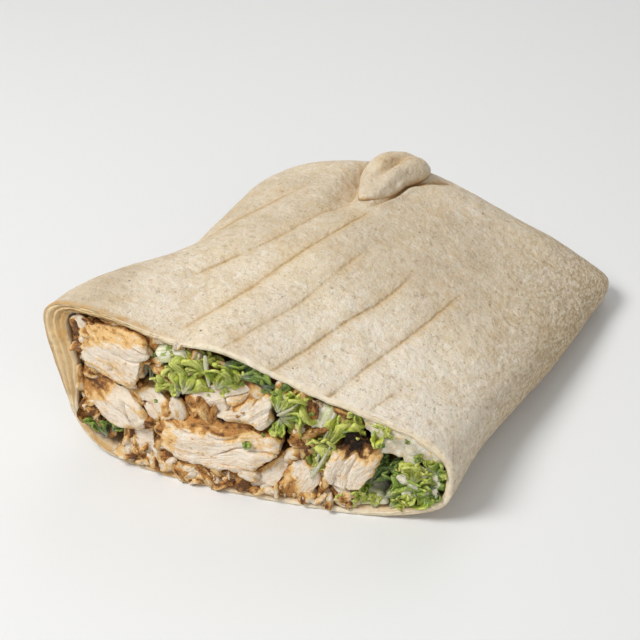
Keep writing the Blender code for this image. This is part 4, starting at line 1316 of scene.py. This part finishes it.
class WRAP_OT_tortilla(bpy.types.Operator):
    """Wrapped and grilled tortilla with its tucked lip"""

    bl_idname = "wrap.tortilla"
    bl_label = "Tortilla"

    def execute(self, context):
        dough = dough_finish()
        place("tortilla_shell", tortilla_mesh(), dough, "wheat_tortilla", "tortilla")
        place("tortilla_tuck", tuck_mesh(), dough, "wheat_tortilla", "tortilla")
        return {"FINISHED"}


class WRAP_OT_chicken(bpy.types.Operator):
    """Cut strips and chunks of grilled chicken"""

    bl_idname = "wrap.chicken"
    bl_label = "Chicken"

    def execute(self, context):
        meat = meat_finish()
        for name in CHICKEN:
            place(name + "_piece", meat_mesh(name), meat, "grilled_chicken", name)
        place("chicken_crumbs_low", crumb_mesh(True), meat, "grilled_chicken")
        place("chicken_crumbs_gaps", crumb_mesh(False), meat, "grilled_chicken")
        return {"FINISHED"}


class WRAP_OT_romaine(bpy.types.Operator):
    """Frilly romaine leaves, thick ribs and thin ribs"""

    bl_idname = "wrap.romaine"
    bl_label = "Romaine"

    def execute(self, context):
        green, pale = leaf_finish(), rib_finish()
        for name in LEAVES:
            thickness(place(name + "_leaves", leaf_mesh(name), green, "romaine_leaf", name))
        for name in RIBS:
            place(name + "_piece", rib_mesh(name), pale, "romaine_rib", name)
        rng = random.Random(SCRAP_SEED)
        place("romaine_thin_ribs", rods_mesh(rng), pale, "romaine_rib")
        thickness(place("romaine_scraps", scraps_mesh(rng), green, "romaine_leaf"))
        return {"FINISHED"}


class WRAP_OT_dressing(bpy.types.Operator):
    """Creamy dressing and the filling behind the cut pieces"""

    bl_idname = "wrap.dressing"
    bl_label = "Dressing and packed filling"

    def execute(self, context):
        cream = cream_finish()
        place("dressing_smear", dressing_mesh(), cream, "creamy_dressing", "dressing")
        place("dressing_thin", sauce_mesh(), cream, "creamy_dressing")
        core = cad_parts["filling_core"]
        core.data.materials.clear()
        core.data.materials.append(packed_shade_finish())
        return {"FINISHED"}


class WRAP_OT_stage(bpy.types.Operator):
    """Plain pale floor, soft lights and the camera"""

    bl_idname = "wrap.stage"
    bl_label = "Stage"

    def execute(self, context):
        bm = bmesh.new()
        bmesh.ops.create_grid(bm, x_segments=1, y_segments=1, size=FLOOR_SIZE)
        plain = Finish("plain_floor", Base_Color=colours().floor, Roughness=0.5)
        floor = finished("floor", bm, plain.material)
        for name, at, size, watts in LIGHTS:
            data = bpy.data.lights.new(name, "AREA")
            data.shape, data.size, data.energy = "DISK", size, watts
            linked(name, data).matrix_world = aimed(at, LIGHTS_TO)
        world = bpy.data.worlds.new("studio")
        world.use_nodes = True
        sky = world.node_tree.nodes["Background"]
        sky.inputs["Color"].default_value = (1, 1, 1, 1)
        sky.inputs["Strength"].default_value = SKY
        context.scene.world = world
        context.scene.view_settings.view_transform = "Standard"
        data = bpy.data.cameras.new("camera")
        data.lens, data.sensor_width = LENS, SENSOR
        camera = linked("camera", data)
        camera.matrix_world = aimed(CAMERA_AT, CAMERA_TO)
        context.scene.camera = camera
        return {"FINISHED"}


def aimed(at, target):
    """Placement at a spot, looking at a target."""
    look = (Vector(target) - Vector(at)).to_track_quat("-Z", "Y")
    return Matrix.Translation(at) @ look.to_matrix().to_4x4()


def thickness(piece):
    """Give leaves their thickness."""
    wall = piece.modifiers.new("thickness", "SOLIDIFY")
    wall.thickness, wall.offset = sizes().leaf, 0


class WRAP_PT_panel(bpy.types.Panel):
    """Steps, sizes and colours of the wrap"""

    bl_idname = "WRAP_PT_panel"
    bl_label = "Chicken Wrap"
    bl_space_type = "VIEW_3D"
    bl_region_type = "UI"
    bl_category = "Wrap"

    def draw(self, context):
        for step in STEPS:
            self.layout.operator(step.bl_idname)
        for group in (context.scene.wrap_sizes, context.scene.wrap_colours):
            box = self.layout.box()
            for key in group.__annotations__:
                box.prop(group, key)


STEPS = (WRAP_OT_tortilla, WRAP_OT_chicken, WRAP_OT_romaine, WRAP_OT_dressing, WRAP_OT_stage)
CLASSES = (WrapSizes, WrapColours, *STEPS, WRAP_PT_panel)


def register():
    """Add the classes and the scene's properties."""
    for each in CLASSES:
        bpy.utils.register_class(each)
    bpy.types.Scene.wrap_sizes = bpy.props.PointerProperty(type=WrapSizes)
    bpy.types.Scene.wrap_colours = bpy.props.PointerProperty(type=WrapColours)


def unregister():
    """Take the classes and the scene's properties away."""
    del bpy.types.Scene.wrap_sizes, bpy.types.Scene.wrap_colours
    for each in reversed(CLASSES):
        bpy.utils.unregister_class(each)


def main():
    """Make every piece in order."""
    register()
    bpy.ops.wrap.tortilla()
    bpy.ops.wrap.chicken()
    bpy.ops.wrap.romaine()
    bpy.ops.wrap.dressing()
    bpy.ops.wrap.stage()
    bpy.context.view_layer.update()


if __name__ == "__main__":
    main()
